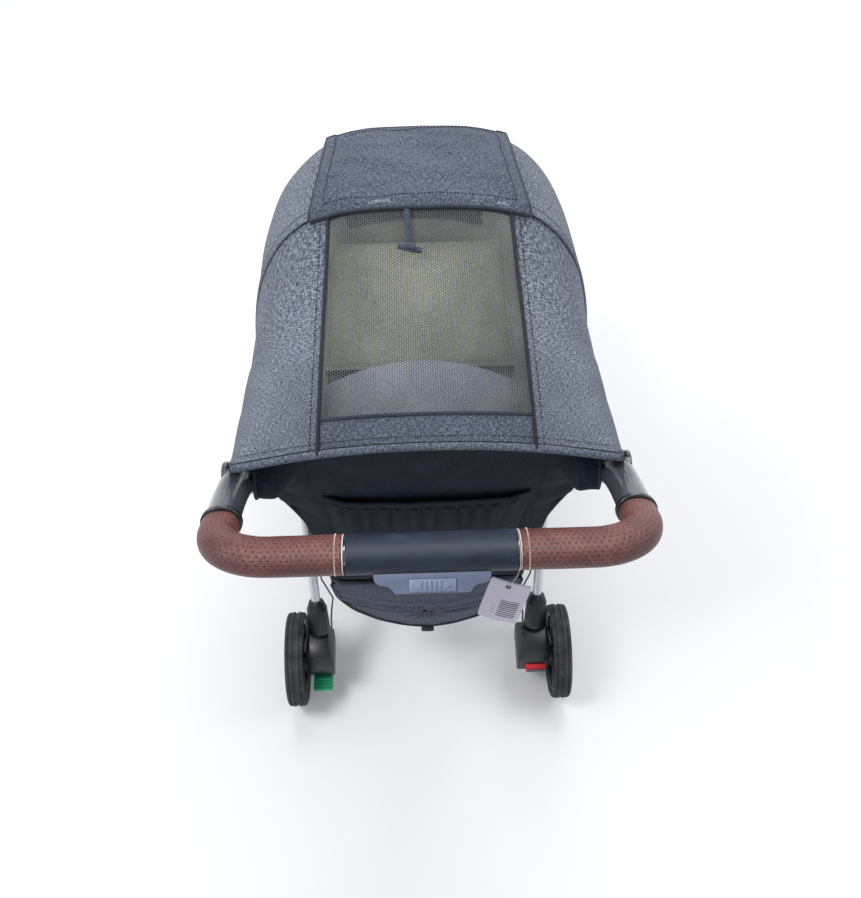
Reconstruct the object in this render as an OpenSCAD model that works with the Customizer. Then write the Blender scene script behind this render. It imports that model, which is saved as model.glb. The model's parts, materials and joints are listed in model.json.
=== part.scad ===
// Folding pet stroller: tube frame, soft cabin, two-bow canopy, U handle.
// X is across, +Y is the direction of travel, +Z is up, Z = 0 is the floor.

/* [Frame] */
// Height of the handle grip centre
grip_z = 1000; // [990:1:1005]
// Distance of the grip centre behind the origin
grip_y = 460; // [450:1:465]
// Half spacing of the frame side tubes
tube_x = 190; // [189:0.5:191]
// Radius of the frame side tubes
tube_r = 9; // [8:0.5:9.5]
// Radius of the rear leg tubes
leg_r = 8; // [7:0.5:8.5]

/* [Handle] */
// Half spacing of the handle arms
arm_x = 225; // [224:0.5:226]
// Corner radius of the handle tube centre line
grip_corner = 60; // [58:1:64]
// Radius of the handle tube
handle_r = 11; // [10:0.5:12]
// Half length of the smooth centre grip
centre_half = 87; // [80:1:90]
// Half width of the padded grip section
grip_a = 24; // [22:0.5:25]
// Half height of the padded grip section
grip_b = 18; // [16:0.5:19]

/* [Wheels] */
// Radius of the rear tyres
rear_wheel_r = 83; // [82:0.5:84]
// Tread width of the rear tyres
rear_wheel_w = 32; // [28:1:34]
// Radius of the front tyres
front_wheel_r = 70; // [68:0.5:71]
// Tread width of the front tyres
front_wheel_w = 24; // [20:1:26]

/* [Canopy] */
// Half width of the canopy
canopy_w = 216; // [215:0.5:217]
// Apex radius of the middle bow
mid_bow_r = 436; // [432:1:437]
// Apex radius of the front edge
front_bow_r = 364; // [355:1:366]
// Thickness of the canopy cloth
cloth_t = 3; // [2:0.5:3]

/* [Cabin] */
// Half width of the cabin
cabin_w = 170; // [165:1:171]
// Height of the cabin floor underside
cabin_z = 412; // [411:1:415]

/* [Hidden] */
$fn = 48;
fit = 0.05;
joint_y = -288; joint_z = 872;
hub_y = 60; hub_z = 500;
piv_y = -76; piv_z = 654;
front_y = 428; front_z = 190; front_x = 172;
slope_u = atan2(grip_z - joint_z, grip_y + joint_y);
arm_len = sqrt(pow(grip_z - joint_z, 2) + pow(grip_y + joint_y, 2));
rear_hub_y = -196; rear_x = 235;
leg_bot = [187, -192, 100];
green_hinge = [-207, 60]; red_hinge = [-200, 90];
caster_y = 440; caster_x = 172; caster_trail = 28;

// Cylinder of radius r from point a to point b
module rod(a, b, r) {
  d = b - a; len = norm(d);
  translate(a) rotate([0, acos(d[2] / len), atan2(d[1], d[0])]) cylinder(r = r, h = len);
}
// Cone from a to b
module cone(a, b, r0, r1) {
  d = b - a; len = norm(d);
  translate(a) rotate([0, acos(d[2] / len), atan2(d[1], d[0])]) cylinder(r1 = r0, r2 = r1, h = len);
}
// Copy of the children on both sides
module both() { children(); mirror([1, 0, 0]) children(); }
// Disc along X between x0 and x1
module xdisc(x0, x1, y, z, r) { translate([x0, y, z]) rotate([0, 90, 0]) cylinder(r = r, h = x1 - x0); }
// The plane of the U handle: local X is across, local Y runs from the joints to the grip
module handle_plane() { translate([0, joint_y, joint_z]) rotate([180 - slope_u, 0, 0]) children(); }
// Side profile pushed out across X
module across(half, pts) { rotate([90, 0, 90]) translate([0, 0, -half]) linear_extrude(2 * half) polygon(pts); }

function tube_at(t) = [tube_x, joint_y + t * (hub_y - joint_y), joint_z + t * (hub_z - joint_z)];
function leg_at(t) = [209 + t * (leg_bot[0] - 209), hub_y + t * (leg_bot[1] - hub_y), hub_z + t * (leg_bot[2] - hub_z)];

// ---- chassis ----
module side_tubes() { color([.23, .24, .26]) both() rod(tube_at(0.045), tube_at(0.965), tube_r); }
module hub_housings() { color([.1, .1, .11]) both() difference() {
  union() { xdisc(170.2, 202, hub_y, hub_z, 24);
    rod(tube_at(0.91), tube_at(0.97), tube_r + 4);
    rod([tube_x, hub_y, hub_z], [tube_x - 2, hub_y + 30, hub_z - 31], tube_r + 4); }
  rod(tube_at(0.90), tube_at(0.965), tube_r + fit);
  rod([tube_x, hub_y, hub_z] + 0.03 * ([front_x, front_y, front_z] - [tube_x, hub_y, hub_z]), [front_x, front_y, front_z], tube_r + fit);
  xdisc(199.9, 203, hub_y, hub_z, 6 + fit);
  xdisc(202.2, 230, hub_y, hub_z, 60);
} }
module handle_joint_housings() { color([.1, .1, .11]) both() difference() {
  union() { xdisc(178, 208, joint_y, joint_z, 20); rod(tube_at(0.03), tube_at(0.12), tube_r + 4); }
  rod(tube_at(0.045), tube_at(0.13), tube_r + fit);
  xdisc(203, 209, joint_y, joint_z, 6 + fit);
} }
module pivot_pins() { color([.7, .7, .72]) both() {
  xdisc(203, 236, joint_y, joint_z, 6);
  xdisc(199.9, 219, hub_y, hub_z, 6);
  xdisc(201.2, 211.6, piv_y, piv_z, 4);
} }
module front_legs() { color([.78, .79, .82]) both() difference() {
  rod([tube_x, hub_y, hub_z] + 0.031 * ([front_x, front_y, front_z] - [tube_x, hub_y, hub_z]), [front_x, front_y, front_z], tube_r);
  translate([front_x, caster_y, 130]) cylinder(r = 15.5, h = 90);
} }
module front_crossbar() { color([.1, .1, .11]) difference() {
  p = [tube_x, hub_y, hub_z] + 0.78 * ([front_x, front_y, front_z] - [tube_x, hub_y, hub_z]);
  union() { rod([-p[0], p[1], p[2]], p, 8);
    both() rod([tube_x, hub_y, hub_z] + 0.745 * ([front_x, front_y, front_z] - [tube_x, hub_y, hub_z]), [tube_x, hub_y, hub_z] + 0.815 * ([front_x, front_y, front_z] - [tube_x, hub_y, hub_z]), tube_r + 3); }
  both() rod([tube_x, hub_y, hub_z], [front_x, front_y, front_z], tube_r + fit);
} }
module caster_sockets() { color([.1, .1, .11]) both() difference() {
  union() { translate([caster_x, caster_y, 152.5]) cylinder(r = 15, h = 48);
    rod([front_x, front_y, front_z] + 0.13 * ([tube_x, hub_y, hub_z] - [front_x, front_y, front_z]), [front_x, front_y, front_z], tube_r + 3.5); }
  difference() { rod([tube_x, hub_y, hub_z], [front_x, front_y, front_z], tube_r + fit); translate([caster_x, caster_y, 130]) cylinder(r = 15, h = 90); }
  translate([caster_x, caster_y, 150]) cylinder(r = 5 + fit, h = 46.3);
} }
module canopy_brackets() { color([.1, .1, .11]) both() difference() {
  xdisc(178, 203, piv_y, piv_z, 18);
  rod(tube_at(0.3), tube_at(0.9), tube_r + fit);
  xdisc(201.2, 204, piv_y, piv_z, 4 + fit);
} }

// ---- cabin ----
rear_foot = -198;
cabin_side = [[rear_foot, cabin_z], [-258, 850], [-180, 800], [60, 640], [486.5, 560], [498.8, 540], [486.5, cabin_z + 20], [470.5, cabin_z]];
cabin_in = [[rear_foot + 6, cabin_z + 6], [-252.6, 851], [-252.6, 900], [546.5, 900], [492.5, 540], [480.5, cabin_z + 24], [466.5, cabin_z + 6]];
module cabin_shell() { color([.16, .18, .22]) difference() {
  across(cabin_w, cabin_side);
  across(cabin_w - 5, cabin_in);
} }
module cabin_base_board() { color([.1, .1, .11]) translate([-cabin_w + 6, -188, cabin_z + 6.2]) cube([2 * cabin_w - 12, 642, 6]); }
module cabin_pad() { color([.42, .43, .38]) translate([-cabin_w + 8, 187, cabin_z + 12.6]) cube([2 * cabin_w - 16, 273, 26]); }
module rear_cushion() { color([.45, .48, .55]) across(cabin_w - 8, [[-189, cabin_z + 12.8], [-213, 592], [-190, 600], [186, 468], [186, cabin_z + 12.8]]); }
module cabin_rim_bar() { color([.12, .13, .15]) both() rod([cabin_w + 3.4, 70, 631], [cabin_w + 3.4, 481, 554], 3); }
module cabin_struts() { color([.1, .1, .11]) both() difference() {
  rod([183.6, 191, 389], [177.6, 239, 594], 3.5);
  rod([tube_x, hub_y, hub_z], [front_x, front_y, front_z], tube_r + fit); } }
// Plane of the slanted rear wall: local X across, local Y up the wall, local Z to the rear
module rear_wall(g) { translate([0, rear_foot - g, cabin_z]) rotate([90 + atan2(60, 438), 0, 0]) children(); }
module rear_panel() { color([.1, .12, .16]) rear_wall(0.4) linear_extrude(4) polygon([[-168, 500], [168, 500], [168, 424], [174, 404], [200, 386], [202, 340], [176, 280], [150, 150], [146, 6], [-146, 6], [-150, 150], [-176, 280], [-202, 340], [-200, 386], [-174, 404], [-168, 424]]); }
module rear_pocket() { color([.09, .11, .15]) rear_wall(4.6) linear_extrude(9) polygon([[-128, 352], [128, 352], [118, 190], [-118, 190]]); }
basket_top = 345;
function basket_u(g) = [[-153 + g, basket_top], [-147 + g, 300], [-122 + g, 250], [-84 + g, 208 + g], [-40, 181 + g], [0, 171 + g], [40, 181 + g], [84 - g, 208 + g], [122 - g, 250], [147 - g, 300], [153 - g, basket_top]];
module basket() { color([.28, .31, .38]) difference() {
  translate([0, 262, 0]) rotate([90, 0, 0]) linear_extrude(442) polygon(basket_u(0));
  translate([0, 258, 0]) rotate([90, 0, 0]) linear_extrude(434) polygon(concat([[-149, 360]], basket_u(4), [[149, 360]]));
} }
module basket_rim() { color([.1, .11, .13]) translate([0, 0, 345.2]) linear_extrude(6) difference() {
  translate([-154, -181]) square([308, 444]); translate([-148, -175]) square([296, 432]); } }
module basket_straps() { color([.1, .11, .13]) both() for (y = [-150, 130, 228]) translate([149, y, 351.4]) cube([3, 22, cabin_z - 351.6]); }
module basket_snap() { color([.06, .07, .08]) translate([0, -180.2, 238]) rotate([90, 0, 0]) difference() { cylinder(r = 7, h = 4.5); translate([0, 0, 3.6]) cylinder(r = 3.5, h = 2); } }

// ---- canopy ----
// Arch outline: half width w, apex radius r, squareness n
function arch(w, r, n, k = 26) = [for (i = [0:k]) let (a = 180 * i / k) [w * sign(cos(a)) * pow(abs(cos(a)), 2 / n), r * pow(abs(sin(a)), 2 / n)]];
module radial(phi) { translate([0, piv_y, piv_z]) rotate([phi, 0, 0]) children(); }
module arch_slice(phi, w, r, n) { radial(phi) linear_extrude(0.02) intersection() { polygon(arch(w, r, n)); translate([-300, 24]) square([600, 600]); } }
module bow_band(phi, w, r, n, x_out) { radial(phi) translate([0, 0, -4]) difference() {
  union() { linear_extrude(8) difference() {
      polygon(concat(arch(w, r, n), [[-w, -4], [w, -4]]));
      polygon(concat(arch(w - 3, r - 3, n), [[-w + 3, -5], [w - 3, -5]])); }
    both() translate([w - 3, 0, 4]) rotate([0, 90, 0]) cylinder(r = 9, h = 3); }
  both() translate([w - 4, 0, 4]) rotate([0, 90, 0]) cylinder(r = 4 + fit, h = 5);
} }
module mid_bow() { color([.1, .1, .11]) bow_band(88, 211, mid_bow_r - 9, 3.3); }
module front_bow() { color([.1, .1, .11]) bow_band(38, 207, front_bow_r - 5, 3.3); }
module rear_hull(d) { hull() { arch_slice(88.6 - (d > 0 ? 1.5 : 0), canopy_w - d, mid_bow_r - d, 3.3); arch_slice(108, canopy_w - d, 375 - d, 4); arch_slice(126 + (d > 0 ? 1.5 : 0), canopy_w + 2 - d, 357 - d, 7); } }
module front_hull(d) { hull() { arch_slice(87.6 + (d > 0 ? 1.5 : 0), canopy_w - d, mid_bow_r - d, 3.3); arch_slice(66, canopy_w - d, 423 - d, 3.3); arch_slice(50, canopy_w - 1 - d, 398 - d, 3.3); arch_slice(38 - (d > 0 ? 1.5 : 0), canopy_w - 2 - d, front_bow_r - d, 3.3); } }
module window_prism(g) { translate([0, 0, 700]) linear_extrude(500) polygon([[-104 + g, -62 - g], [104 - g, -62 - g], [121 - g, -262 + g], [-124 + g, -262 + g]]); }
module canopy_rear() { color([.3, .33, .39]) difference() { rear_hull(0); rear_hull(cloth_t); window_prism(0); } }
module window_mesh() { color([.45, .46, .44]) intersection() { difference() { rear_hull(0); rear_hull(1.5); } window_prism(0.3); } }
module canopy_front() { color([.3, .33, .39]) difference() { front_hull(0); front_hull(cloth_t); } }
module window_flap() { color([.26, .3, .36]) across(110, [[-60, 1091.8], [98, 1042], [98.8, 1044.5], [-59, 1094.4]]); }
module toggle_strap() { color([.25, .28, .34]) translate([-14, 0, 0]) across(3, [[-66, 1090.3], [-105, 1064.8], [-106, 1066.4], [-67, 1092]]); }
module toggle_bar() { color([.2, .22, .27]) rod([-25, -109.5, 1066], [-3, -111, 1065], 2.5); }

// ---- handle ----
module u_path(r, s0, s1) {
  // arm parts from s0 to s1 on both sides
  both() translate([arm_x, s0, 0]) rotate([-90, 0, 0]) cylinder(r = r, h = s1 - s0);
}
function ell(a, b) = [for (i = [0:23]) [a * cos(i * 15), b * sin(i * 15)]];
module handle_tube() { color([.75, .76, .78]) handle_plane() union() {
  u_path(handle_r, 21.5, arm_len - grip_corner);
  both() translate([arm_x - grip_corner, arm_len - grip_corner, 0]) rotate_extrude(angle = 90) translate([grip_corner, 0]) circle(r = handle_r);
  translate([-(arm_x - grip_corner), arm_len, 0]) rotate([0, 90, 0]) cylinder(r = handle_r, h = 2 * (arm_x - grip_corner));
} }
module arm_knuckles() { color([.17, .18, .2]) both() difference() {
  union() { xdisc(210, 240, joint_y, joint_z, 20);
    handle_plane() translate([arm_x, 10, 0]) rotate([-90, 0, 0]) linear_extrude(112) polygon(ell(19, 14)); }
  xdisc(208, 236 + fit, joint_y, joint_z, 6 + fit);
  xdisc(200, 209.5, joint_y, joint_z, 30);
  handle_plane() translate([arm_x, 21.4, 0]) rotate([-90, 0, 0]) cylinder(r = handle_r + fit, h = 120);
} }
module sleeve() { difference() {
  union() {
    translate([arm_x, 130, 0]) rotate([-90, 0, 0]) linear_extrude(arm_len - grip_corner - 130) polygon(ell(grip_a - 3, grip_b));
    translate([arm_x - grip_corner, arm_len - grip_corner, 0]) rotate_extrude(angle = 90) translate([grip_corner, 0]) polygon(ell(grip_a - 1, grip_b));
    translate([centre_half + 0.3, arm_len, 0]) rotate([90, 0, 90]) linear_extrude(arm_x - grip_corner - centre_half - 0.3) polygon(ell(grip_a, grip_b)); }
  translate([arm_x, 100, 0]) rotate([-90, 0, 0]) cylinder(r = handle_r + fit, h = arm_len - grip_corner - 100);
  translate([arm_x - grip_corner, arm_len - grip_corner, 0]) rotate_extrude(angle = 90) translate([grip_corner, 0]) circle(r = handle_r + fit);
  translate([80, arm_len, 0]) rotate([0, 90, 0]) cylinder(r = handle_r + fit, h = arm_x - grip_corner - 80);
} }
module leather_sleeve_left() { color([.5, .28, .24]) handle_plane() mirror([1, 0, 0]) sleeve(); }
module leather_sleeve_right() { color([.5, .28, .24]) handle_plane() sleeve(); }
module centre_grip() { color([.13, .18, .24]) handle_plane() difference() {
  translate([-centre_half, arm_len, 0]) rotate([90, 0, 90]) linear_extrude(2 * centre_half) polygon(ell(grip_a, grip_b));
  translate([-100, arm_len, 0]) rotate([0, 90, 0]) cylinder(r = handle_r + fit, h = 200);
  translate([-60, arm_len - 13.2, 12.4]) cube([120, 80, 40]);
} }
module grip_collars() { color([.08, .08, .09]) handle_plane() both() translate([arm_x, 122.3, 0]) rotate([-90, 0, 0]) difference() { linear_extrude(7.4) polygon(ell(grip_a - 1, grip_b + 1.5)); translate([0, 0, -1]) cylinder(r = handle_r + fit, h = 12); } }
// Plane under the grip, local Z points away from the user's palm
module under_grip(s, len) { handle_plane() translate([0, arm_len + s, 0]) rotate([90, 0, 0]) linear_extrude(len) children(); }
module fold_housing() { color([.47, .52, .63]) difference() {
  under_grip(22, 34) polygon([[-59, 12.6], [59, 12.6], [59, 19.5], [57.5, 22.5], [54, 25.5], [48, 26.6], [44, 28], [41, 31], [38.5, 35.5], [-38.5, 35.5], [-41, 31], [-44, 28], [-48, 26.6], [-54, 25.5], [-57.5, 22.5], [-59, 19.5]]);
  under_grip(23, 10) translate([-14.4, 20.4]) square([36.8, 11.2]);
  handle_plane() translate([-36, arm_len - 10, 27]) cube([72, 17, 20]);
} }
module fold_slider() { color([.5, .55, .66]) union() {
  under_grip(22.4, 8) translate([-14, 20.8]) square([28, 10.4]);
  under_grip(23.4, 1.2) translate([-23.5, 18.9]) square([47, 14.2]);
  under_grip(24.4, 1.2) for (x = [-8.3, -3.5, 1.3, 6.1]) translate([x, 20.6]) square([2.2, 10.8]);
  for (m = [0, 1]) mirror([m, 0, 0]) under_grip(24.4, 1.2) polygon([[18.4, 26], [11.4, 31.4], [11.4, 20.6]]);
} }
module fold_trigger() { color([.12, .13, .15]) handle_plane() translate([-35.6, arm_len - 9.6, 33.2]) cube([71.2, 16.2, 7]); }
module hang_tag() { color([.8, .78, .84]) translate([84, -470, 947]) rotate([0, 0, -13.6]) rotate([0, 8.6, 0]) rotate([82.6, 0, 0]) difference() {
  translate([-22, -78, 0]) cube([44.5, 78, 0.8]); translate([-1.5, -9, -1]) cylinder(r = 1.8, h = 3); } }
module tag_string() { color([.85, .82, .75]) handle_plane() translate([84, arm_len, 0]) rotate([90, 0, 90]) linear_extrude(1) difference() { polygon(ell(grip_a + 1.7, grip_b + 1.7)); polygon(ell(grip_a + 0.6, grip_b + 0.6)); } }

// ---- rear legs ----
module rear_leg_tubes() { color([.8, .81, .84]) both() rod(leg_at(0.075), leg_at(0.82), leg_r); }
module leg_knuckles() { color([.1, .1, .11]) both() difference() {
  union() { xdisc(203, 221, hub_y, hub_z, 20); rod(leg_at(0.03), leg_at(0.13), leg_r + 3); }
  xdisc(202, 219.1, hub_y, hub_z, 6 + fit);
  xdisc(180, 202.7, hub_y, hub_z, 26);
  rod(leg_at(0.075), leg_at(0.2), leg_r + fit);
} }
module leg_sleeves() { color([.09, .1, .12]) both() difference() {
  union() { cone(leg_at(0.772), leg_at(0.80), 12.5, 17.5); cone(leg_at(0.799), leg_at(0.90), 17.5, 19.5); }
  rod(leg_at(0.6), leg_at(0.82), leg_r + fit);
} }
// Brake housing round one wheel: xi is its inner face, slot the side outline cut out for the pedal, hinge the pin at [y, z]
module housing(xi, p0, p1, slot, hinge) { difference() {
  intersection() {
    translate([0, 0, 0]) rotate([90, 0, 90]) linear_extrude(220) polygon([[-214, 53], [-200, 51], [-170, 62], [-158, 78], [-153, 104], [-158, 128], [-172, 140], [-196, 141], [-214, 132], [-224, 112], [-226, 92], [-222, 66]]);
    translate([0, -100, 0]) rotate([90, 0, 0]) linear_extrude(200) polygon([[xi + 9, 48], [207, 48], [212, 74], [212, 118], [207, 142], [xi + 9, 142], [xi, 118], [xi, 74]]);
  }
  rod(leg_at(0.5), leg_at(0.901), 19.5 + fit);
  xdisc(206.8, 213, rear_hub_y, rear_wheel_r, 5 + fit);
  translate([p0 - 0.6, 0, 0]) rotate([90, 0, 90]) linear_extrude(p1 - p0 + 1.2) polygon(slot);
  xdisc(p0 - 0.6, p1 + 0.6, hinge[0], hinge[1], 6.6);
}
  xdisc(p0 - 2, p1 + 2, hinge[0], hinge[1], 2.9);
}
module brake_housing_left() { color([.08, .09, .12]) mirror([1, 0, 0]) housing(166, 171.5, 205, [[-262, 40], [-262, 77], [-205, 62], [-198, 62], [-198, 40]], green_hinge); }
module brake_housing_right() { color([.08, .09, .12]) housing(157, 172, 206, [[-262, 96.6], [-200, 96.6], [-196, 88], [-196, 84], [-262, 46]], red_hinge); }
module rear_crossbar() { color([.6, .61, .64]) difference() {
  p = leg_at(0.26);
  union() { rod([-p[0], p[1], p[2]], p, 7); both() rod(leg_at(0.24), leg_at(0.285), leg_r + 3); }
  both() rod(leg_at(0.1), leg_at(0.4), leg_r + fit);
} }
// Sheathed brake cable: up the left leg, along the crossbar, down the right leg
cable_pts = [[-169.5, -160.5, 133], [-168, -158, 141], [-168.5, -152, 150], [-166, -138, 170], [-163, -127, 186], [-180.6, -108.4, 224], [-182.8, -83.2, 264], [-185, -58, 304], [-187.2, -32.8, 344], [-188.7, -15.2, 372], [-182, -8, 384], [-170, 4, 389], [-150, 7.5, 397], [-120, 6.5, 400.5], [-60, 6.5, 401], [60, 6.5, 401], [120, 6.5, 400.5], [150, 7.5, 397], [170, 4, 389], [182, -8, 384], [188.7, -15.2, 372], [187.2, -32.8, 344], [185, -58, 304], [182.8, -83.2, 264], [180.6, -108.4, 224], [163, -127, 186], [166, -138, 170], [168.5, -152, 150], [168, -158, 141], [169.5, -160.5, 133]];
function unit(v) = v / norm(v);
function cat(i, n) = i == 0 ? cable_pts[1] - cable_pts[0] : i == n - 1 ? cable_pts[n - 1] - cable_pts[n - 2] : cable_pts[i + 1] - cable_pts[i - 1];
module brake_cable() { color([.75, .75, .72])
  let (n = len(cable_pts), k = 8, r = 1.5,
    pts = [for (i = [0:n - 1]) let (t = unit(cat(i, n)), s = unit(cross(t, unit([0, 1, 0.35]))), u = cross(s, t)) for (j = [0:k - 1]) cable_pts[i] + r * (cos(j * 45) * s + sin(j * 45) * u)],
    sides = [for (i = [0:n - 2], j = [0:k - 1]) each [[i * k + j, (i + 1) * k + j, i * k + (j + 1) % k], [i * k + (j + 1) % k, (i + 1) * k + j, (i + 1) * k + (j + 1) % k]]])
  polyhedron(pts, concat(sides, [[for (j = [0:k - 1]) j], [for (j = [k - 1:-1:0]) (n - 1) * k + j]]));
}
module rear_axles() { color([.7, .7, .72]) both() { xdisc(206.9, 251.6, rear_hub_y, rear_wheel_r, 5); xdisc(251.6, 254, rear_hub_y, rear_wheel_r, 9); } }
module pedal(x0, x1, hinge, plate) { difference() {
  union() { translate([x0, 0, 0]) rotate([90, 0, 90]) linear_extrude(x1 - x0) polygon(plate); xdisc(x0, x1, hinge[0], hinge[1], 6); }
  xdisc(x0 - 1, x1 + 1, hinge[0], hinge[1], 2.95);
} }
module brake_pedal_green() { color([.08, .6, .4]) mirror([1, 0, 0]) pedal(171.5, 205, green_hinge, [[-207, 53], [-238, 51], [-246, 54], [-247, 58], [-244, 60], [-240, 59], [-240, 60.4], [-236, 60.4], [-236, 59.2], [-234, 59.2], [-234, 60.6], [-230, 60.6], [-230, 59.4], [-228, 59.4], [-228, 60.8], [-224, 60.8], [-224, 59.6], [-207, 60.4]]); }
module brake_pedal_red() { color([.92, .15, .2]) pedal(172, 206, red_hinge, [[-200, 95.8], [-226, 95.8], [-232, 92], [-235, 86], [-233, 80], [-228, 78], [-218, 84], [-200, 86.4]]); }
module rim(r, w, bore, x) { translate([x, 0, 0]) rotate([0, 90, 0]) difference() {
  union() {
    rotate_extrude() polygon([[r - 20, -w / 2 + 3], [r - 13, -w / 2 + 3], [r - 13, w / 2 - 3], [r - 20, w / 2 - 3]]);
    cylinder(r = 14, h = w, center = true);
    cylinder(r = r - 19, h = 5, center = true);
    for (a = [0:60:359]) rotate([0, 0, a]) translate([11, -4.5, -w / 2 + 5]) cube([r - 30, 9, w - 10]); }
  cylinder(r = bore + fit, h = w + 9, center = true);
} }
module tyre(r, w, x) { translate([x, 0, 0]) rotate([0, 90, 0]) rotate_extrude() polygon([[r - 12.95, -w / 2 + 2], [r - 5, -w / 2], [r - 1.5, -w / 2 + 3.5], [r, -w / 2 + 8], [r, w / 2 - 8], [r - 1.5, w / 2 - 3.5], [r - 5, w / 2], [r - 12.95, w / 2 - 2]]); }
module rear_at() { translate([0, rear_hub_y, rear_wheel_r]) children(); }
module front_at() { translate([0, caster_y - caster_trail, front_wheel_r]) children(); }
module rear_rim_left() { color([.1, .1, .11]) rear_at() rim(rear_wheel_r, rear_wheel_w, 5, -rear_x + 3); }
module rear_rim_right() { color([.1, .1, .11]) rear_at() rim(rear_wheel_r, rear_wheel_w, 5, rear_x - 3); }
module rear_tyre_left() { color([.24, .24, .26]) rear_at() tyre(rear_wheel_r, rear_wheel_w, -rear_x + 3); }
module rear_tyre_right() { color([.24, .24, .26]) rear_at() tyre(rear_wheel_r, rear_wheel_w, rear_x - 3); }

// ---- front casters ----
module fork() {
  translate([caster_x, caster_y, 145]) cylinder(r = 5, h = 51);
  translate([caster_x, caster_y, 144]) cylinder(r = 14, h = 8);
  translate([caster_x - 19.5, caster_y - 24, 144]) cube([39, 37, 6]);
  for (s = [-1, 1]) translate([caster_x + s * 17 - 2.5, 0, 0]) rotate([90, 0, 90]) linear_extrude(5) polygon([[caster_y - 24, 144], [caster_y - 24, 150], [caster_y + 13, 150], [caster_y + 13, 140], [caster_y - 12, 64], [caster_y - 20, 57], [caster_y - 34, 56], [caster_y - 41, 64], [caster_y - 40, 78]]);
  translate([caster_x - 21, caster_y - caster_trail, front_wheel_r]) rotate([0, 90, 0]) cylinder(r = 4, h = 42);
}
module caster_fork_left() { color([.1, .1, .11]) mirror([1, 0, 0]) fork(); }
module caster_fork_right() { color([.1, .1, .11]) fork(); }
module front_rim_left() { color([.1, .1, .11]) front_at() rim(front_wheel_r, front_wheel_w, 4, -caster_x); }
module front_rim_right() { color([.1, .1, .11]) front_at() rim(front_wheel_r, front_wheel_w, 4, caster_x); }
module front_tyre_left() { color([.24, .24, .26]) front_at() tyre(front_wheel_r, front_wheel_w, -caster_x); }
module front_tyre_right() { color([.24, .24, .26]) front_at() tyre(front_wheel_r, front_wheel_w, caster_x); }

side_tubes();
hub_housings();
handle_joint_housings();
pivot_pins();
front_legs();
front_crossbar();
caster_sockets();
canopy_brackets();
cabin_shell();
cabin_base_board();
cabin_pad();
rear_cushion();
cabin_rim_bar();
cabin_struts();
rear_panel();
rear_pocket();
canopy_rear();
window_mesh();
basket();
basket_rim();
basket_straps();
basket_snap();
mid_bow();
canopy_front();
toggle_strap();
toggle_bar();
front_bow();
window_flap();
handle_tube();
arm_knuckles();
leather_sleeve_left();
leather_sleeve_right();
centre_grip();
grip_collars();
fold_housing();
fold_slider();
fold_trigger();
hang_tag();
tag_string();
rear_leg_tubes();
leg_knuckles();
leg_sleeves();
brake_housing_left();
brake_housing_right();
rear_crossbar();
brake_cable();
rear_axles();
brake_pedal_green();
brake_pedal_red();
rear_rim_left();
rear_rim_right();
rear_tyre_left();
rear_tyre_right();
caster_fork_left();
caster_fork_right();
front_rim_left();
front_rim_right();
front_tyre_left();
front_tyre_right();
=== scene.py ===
import json
import math
import bpy
import bmesh
import numpy as np
from mathutils import Matrix, Vector, noise


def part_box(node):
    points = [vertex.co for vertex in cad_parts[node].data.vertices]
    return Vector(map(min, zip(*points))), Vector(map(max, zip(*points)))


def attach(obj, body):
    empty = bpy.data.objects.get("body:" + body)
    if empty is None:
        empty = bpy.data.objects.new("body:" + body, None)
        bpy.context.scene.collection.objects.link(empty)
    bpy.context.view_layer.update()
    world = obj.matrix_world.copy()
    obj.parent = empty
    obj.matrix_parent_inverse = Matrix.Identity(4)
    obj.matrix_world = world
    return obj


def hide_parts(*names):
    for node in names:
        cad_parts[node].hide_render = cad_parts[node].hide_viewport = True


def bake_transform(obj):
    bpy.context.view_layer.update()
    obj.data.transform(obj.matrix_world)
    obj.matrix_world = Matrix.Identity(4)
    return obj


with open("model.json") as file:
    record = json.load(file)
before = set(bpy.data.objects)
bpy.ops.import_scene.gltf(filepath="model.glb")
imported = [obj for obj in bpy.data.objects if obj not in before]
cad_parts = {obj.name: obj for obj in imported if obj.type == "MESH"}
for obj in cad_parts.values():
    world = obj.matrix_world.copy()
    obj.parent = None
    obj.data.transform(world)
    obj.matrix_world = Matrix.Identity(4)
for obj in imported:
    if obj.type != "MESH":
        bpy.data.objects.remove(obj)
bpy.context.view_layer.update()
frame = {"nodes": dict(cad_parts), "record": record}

pi = math.pi

# ------------------------------------------------------------------ camera
C = Vector((-0.01531, -1.01095, 2.07734))
th, yaw, roll = math.radians(57.951), math.radians(1.553), math.radians(0.387)
f = Vector((math.sin(yaw) * math.cos(th), math.cos(yaw) * math.cos(th), -math.sin(th)))
r = Vector((math.cos(yaw), -math.sin(yaw), 0))
d = f.cross(r)
r2 = math.cos(roll) * r + math.sin(roll) * d
d2 = -math.sin(roll) * r + math.cos(roll) * d
cam_data = bpy.data.cameras.new("camera")
cam = bpy.data.objects.new("camera", cam_data)
bpy.context.collection.objects.link(cam)
m = Matrix.Identity(4)
for i in range(3):
    m[i][0], m[i][1], m[i][2], m[i][3] = r2[i], -d2[i], -f[i], C[i]
cam.matrix_world = m
cam_data.lens = 1188.0 / 898.0 * 36.0
cam_data.sensor_width = 36.0
cam_data.clip_start = 0.01
bpy.context.scene.camera = cam
bpy.context.scene.view_settings.view_transform = "Standard"
bpy.context.scene.view_settings.look = "None"

# ------------------------------------------------------------------ floor and light
def area(name, loc, target, size, power, color=(1, 1, 1)):
    l = bpy.data.lights.new(name, "AREA")
    l.shape = "RECTANGLE"
    l.size, l.size_y = size
    l.energy = power
    l.color = color
    o = bpy.data.objects.new(name, l)
    o.location = loc
    o.rotation_euler = (Vector(target) - Vector(loc)).to_track_quat("-Z", "Y").to_euler()
    bpy.context.collection.objects.link(o)

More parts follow.
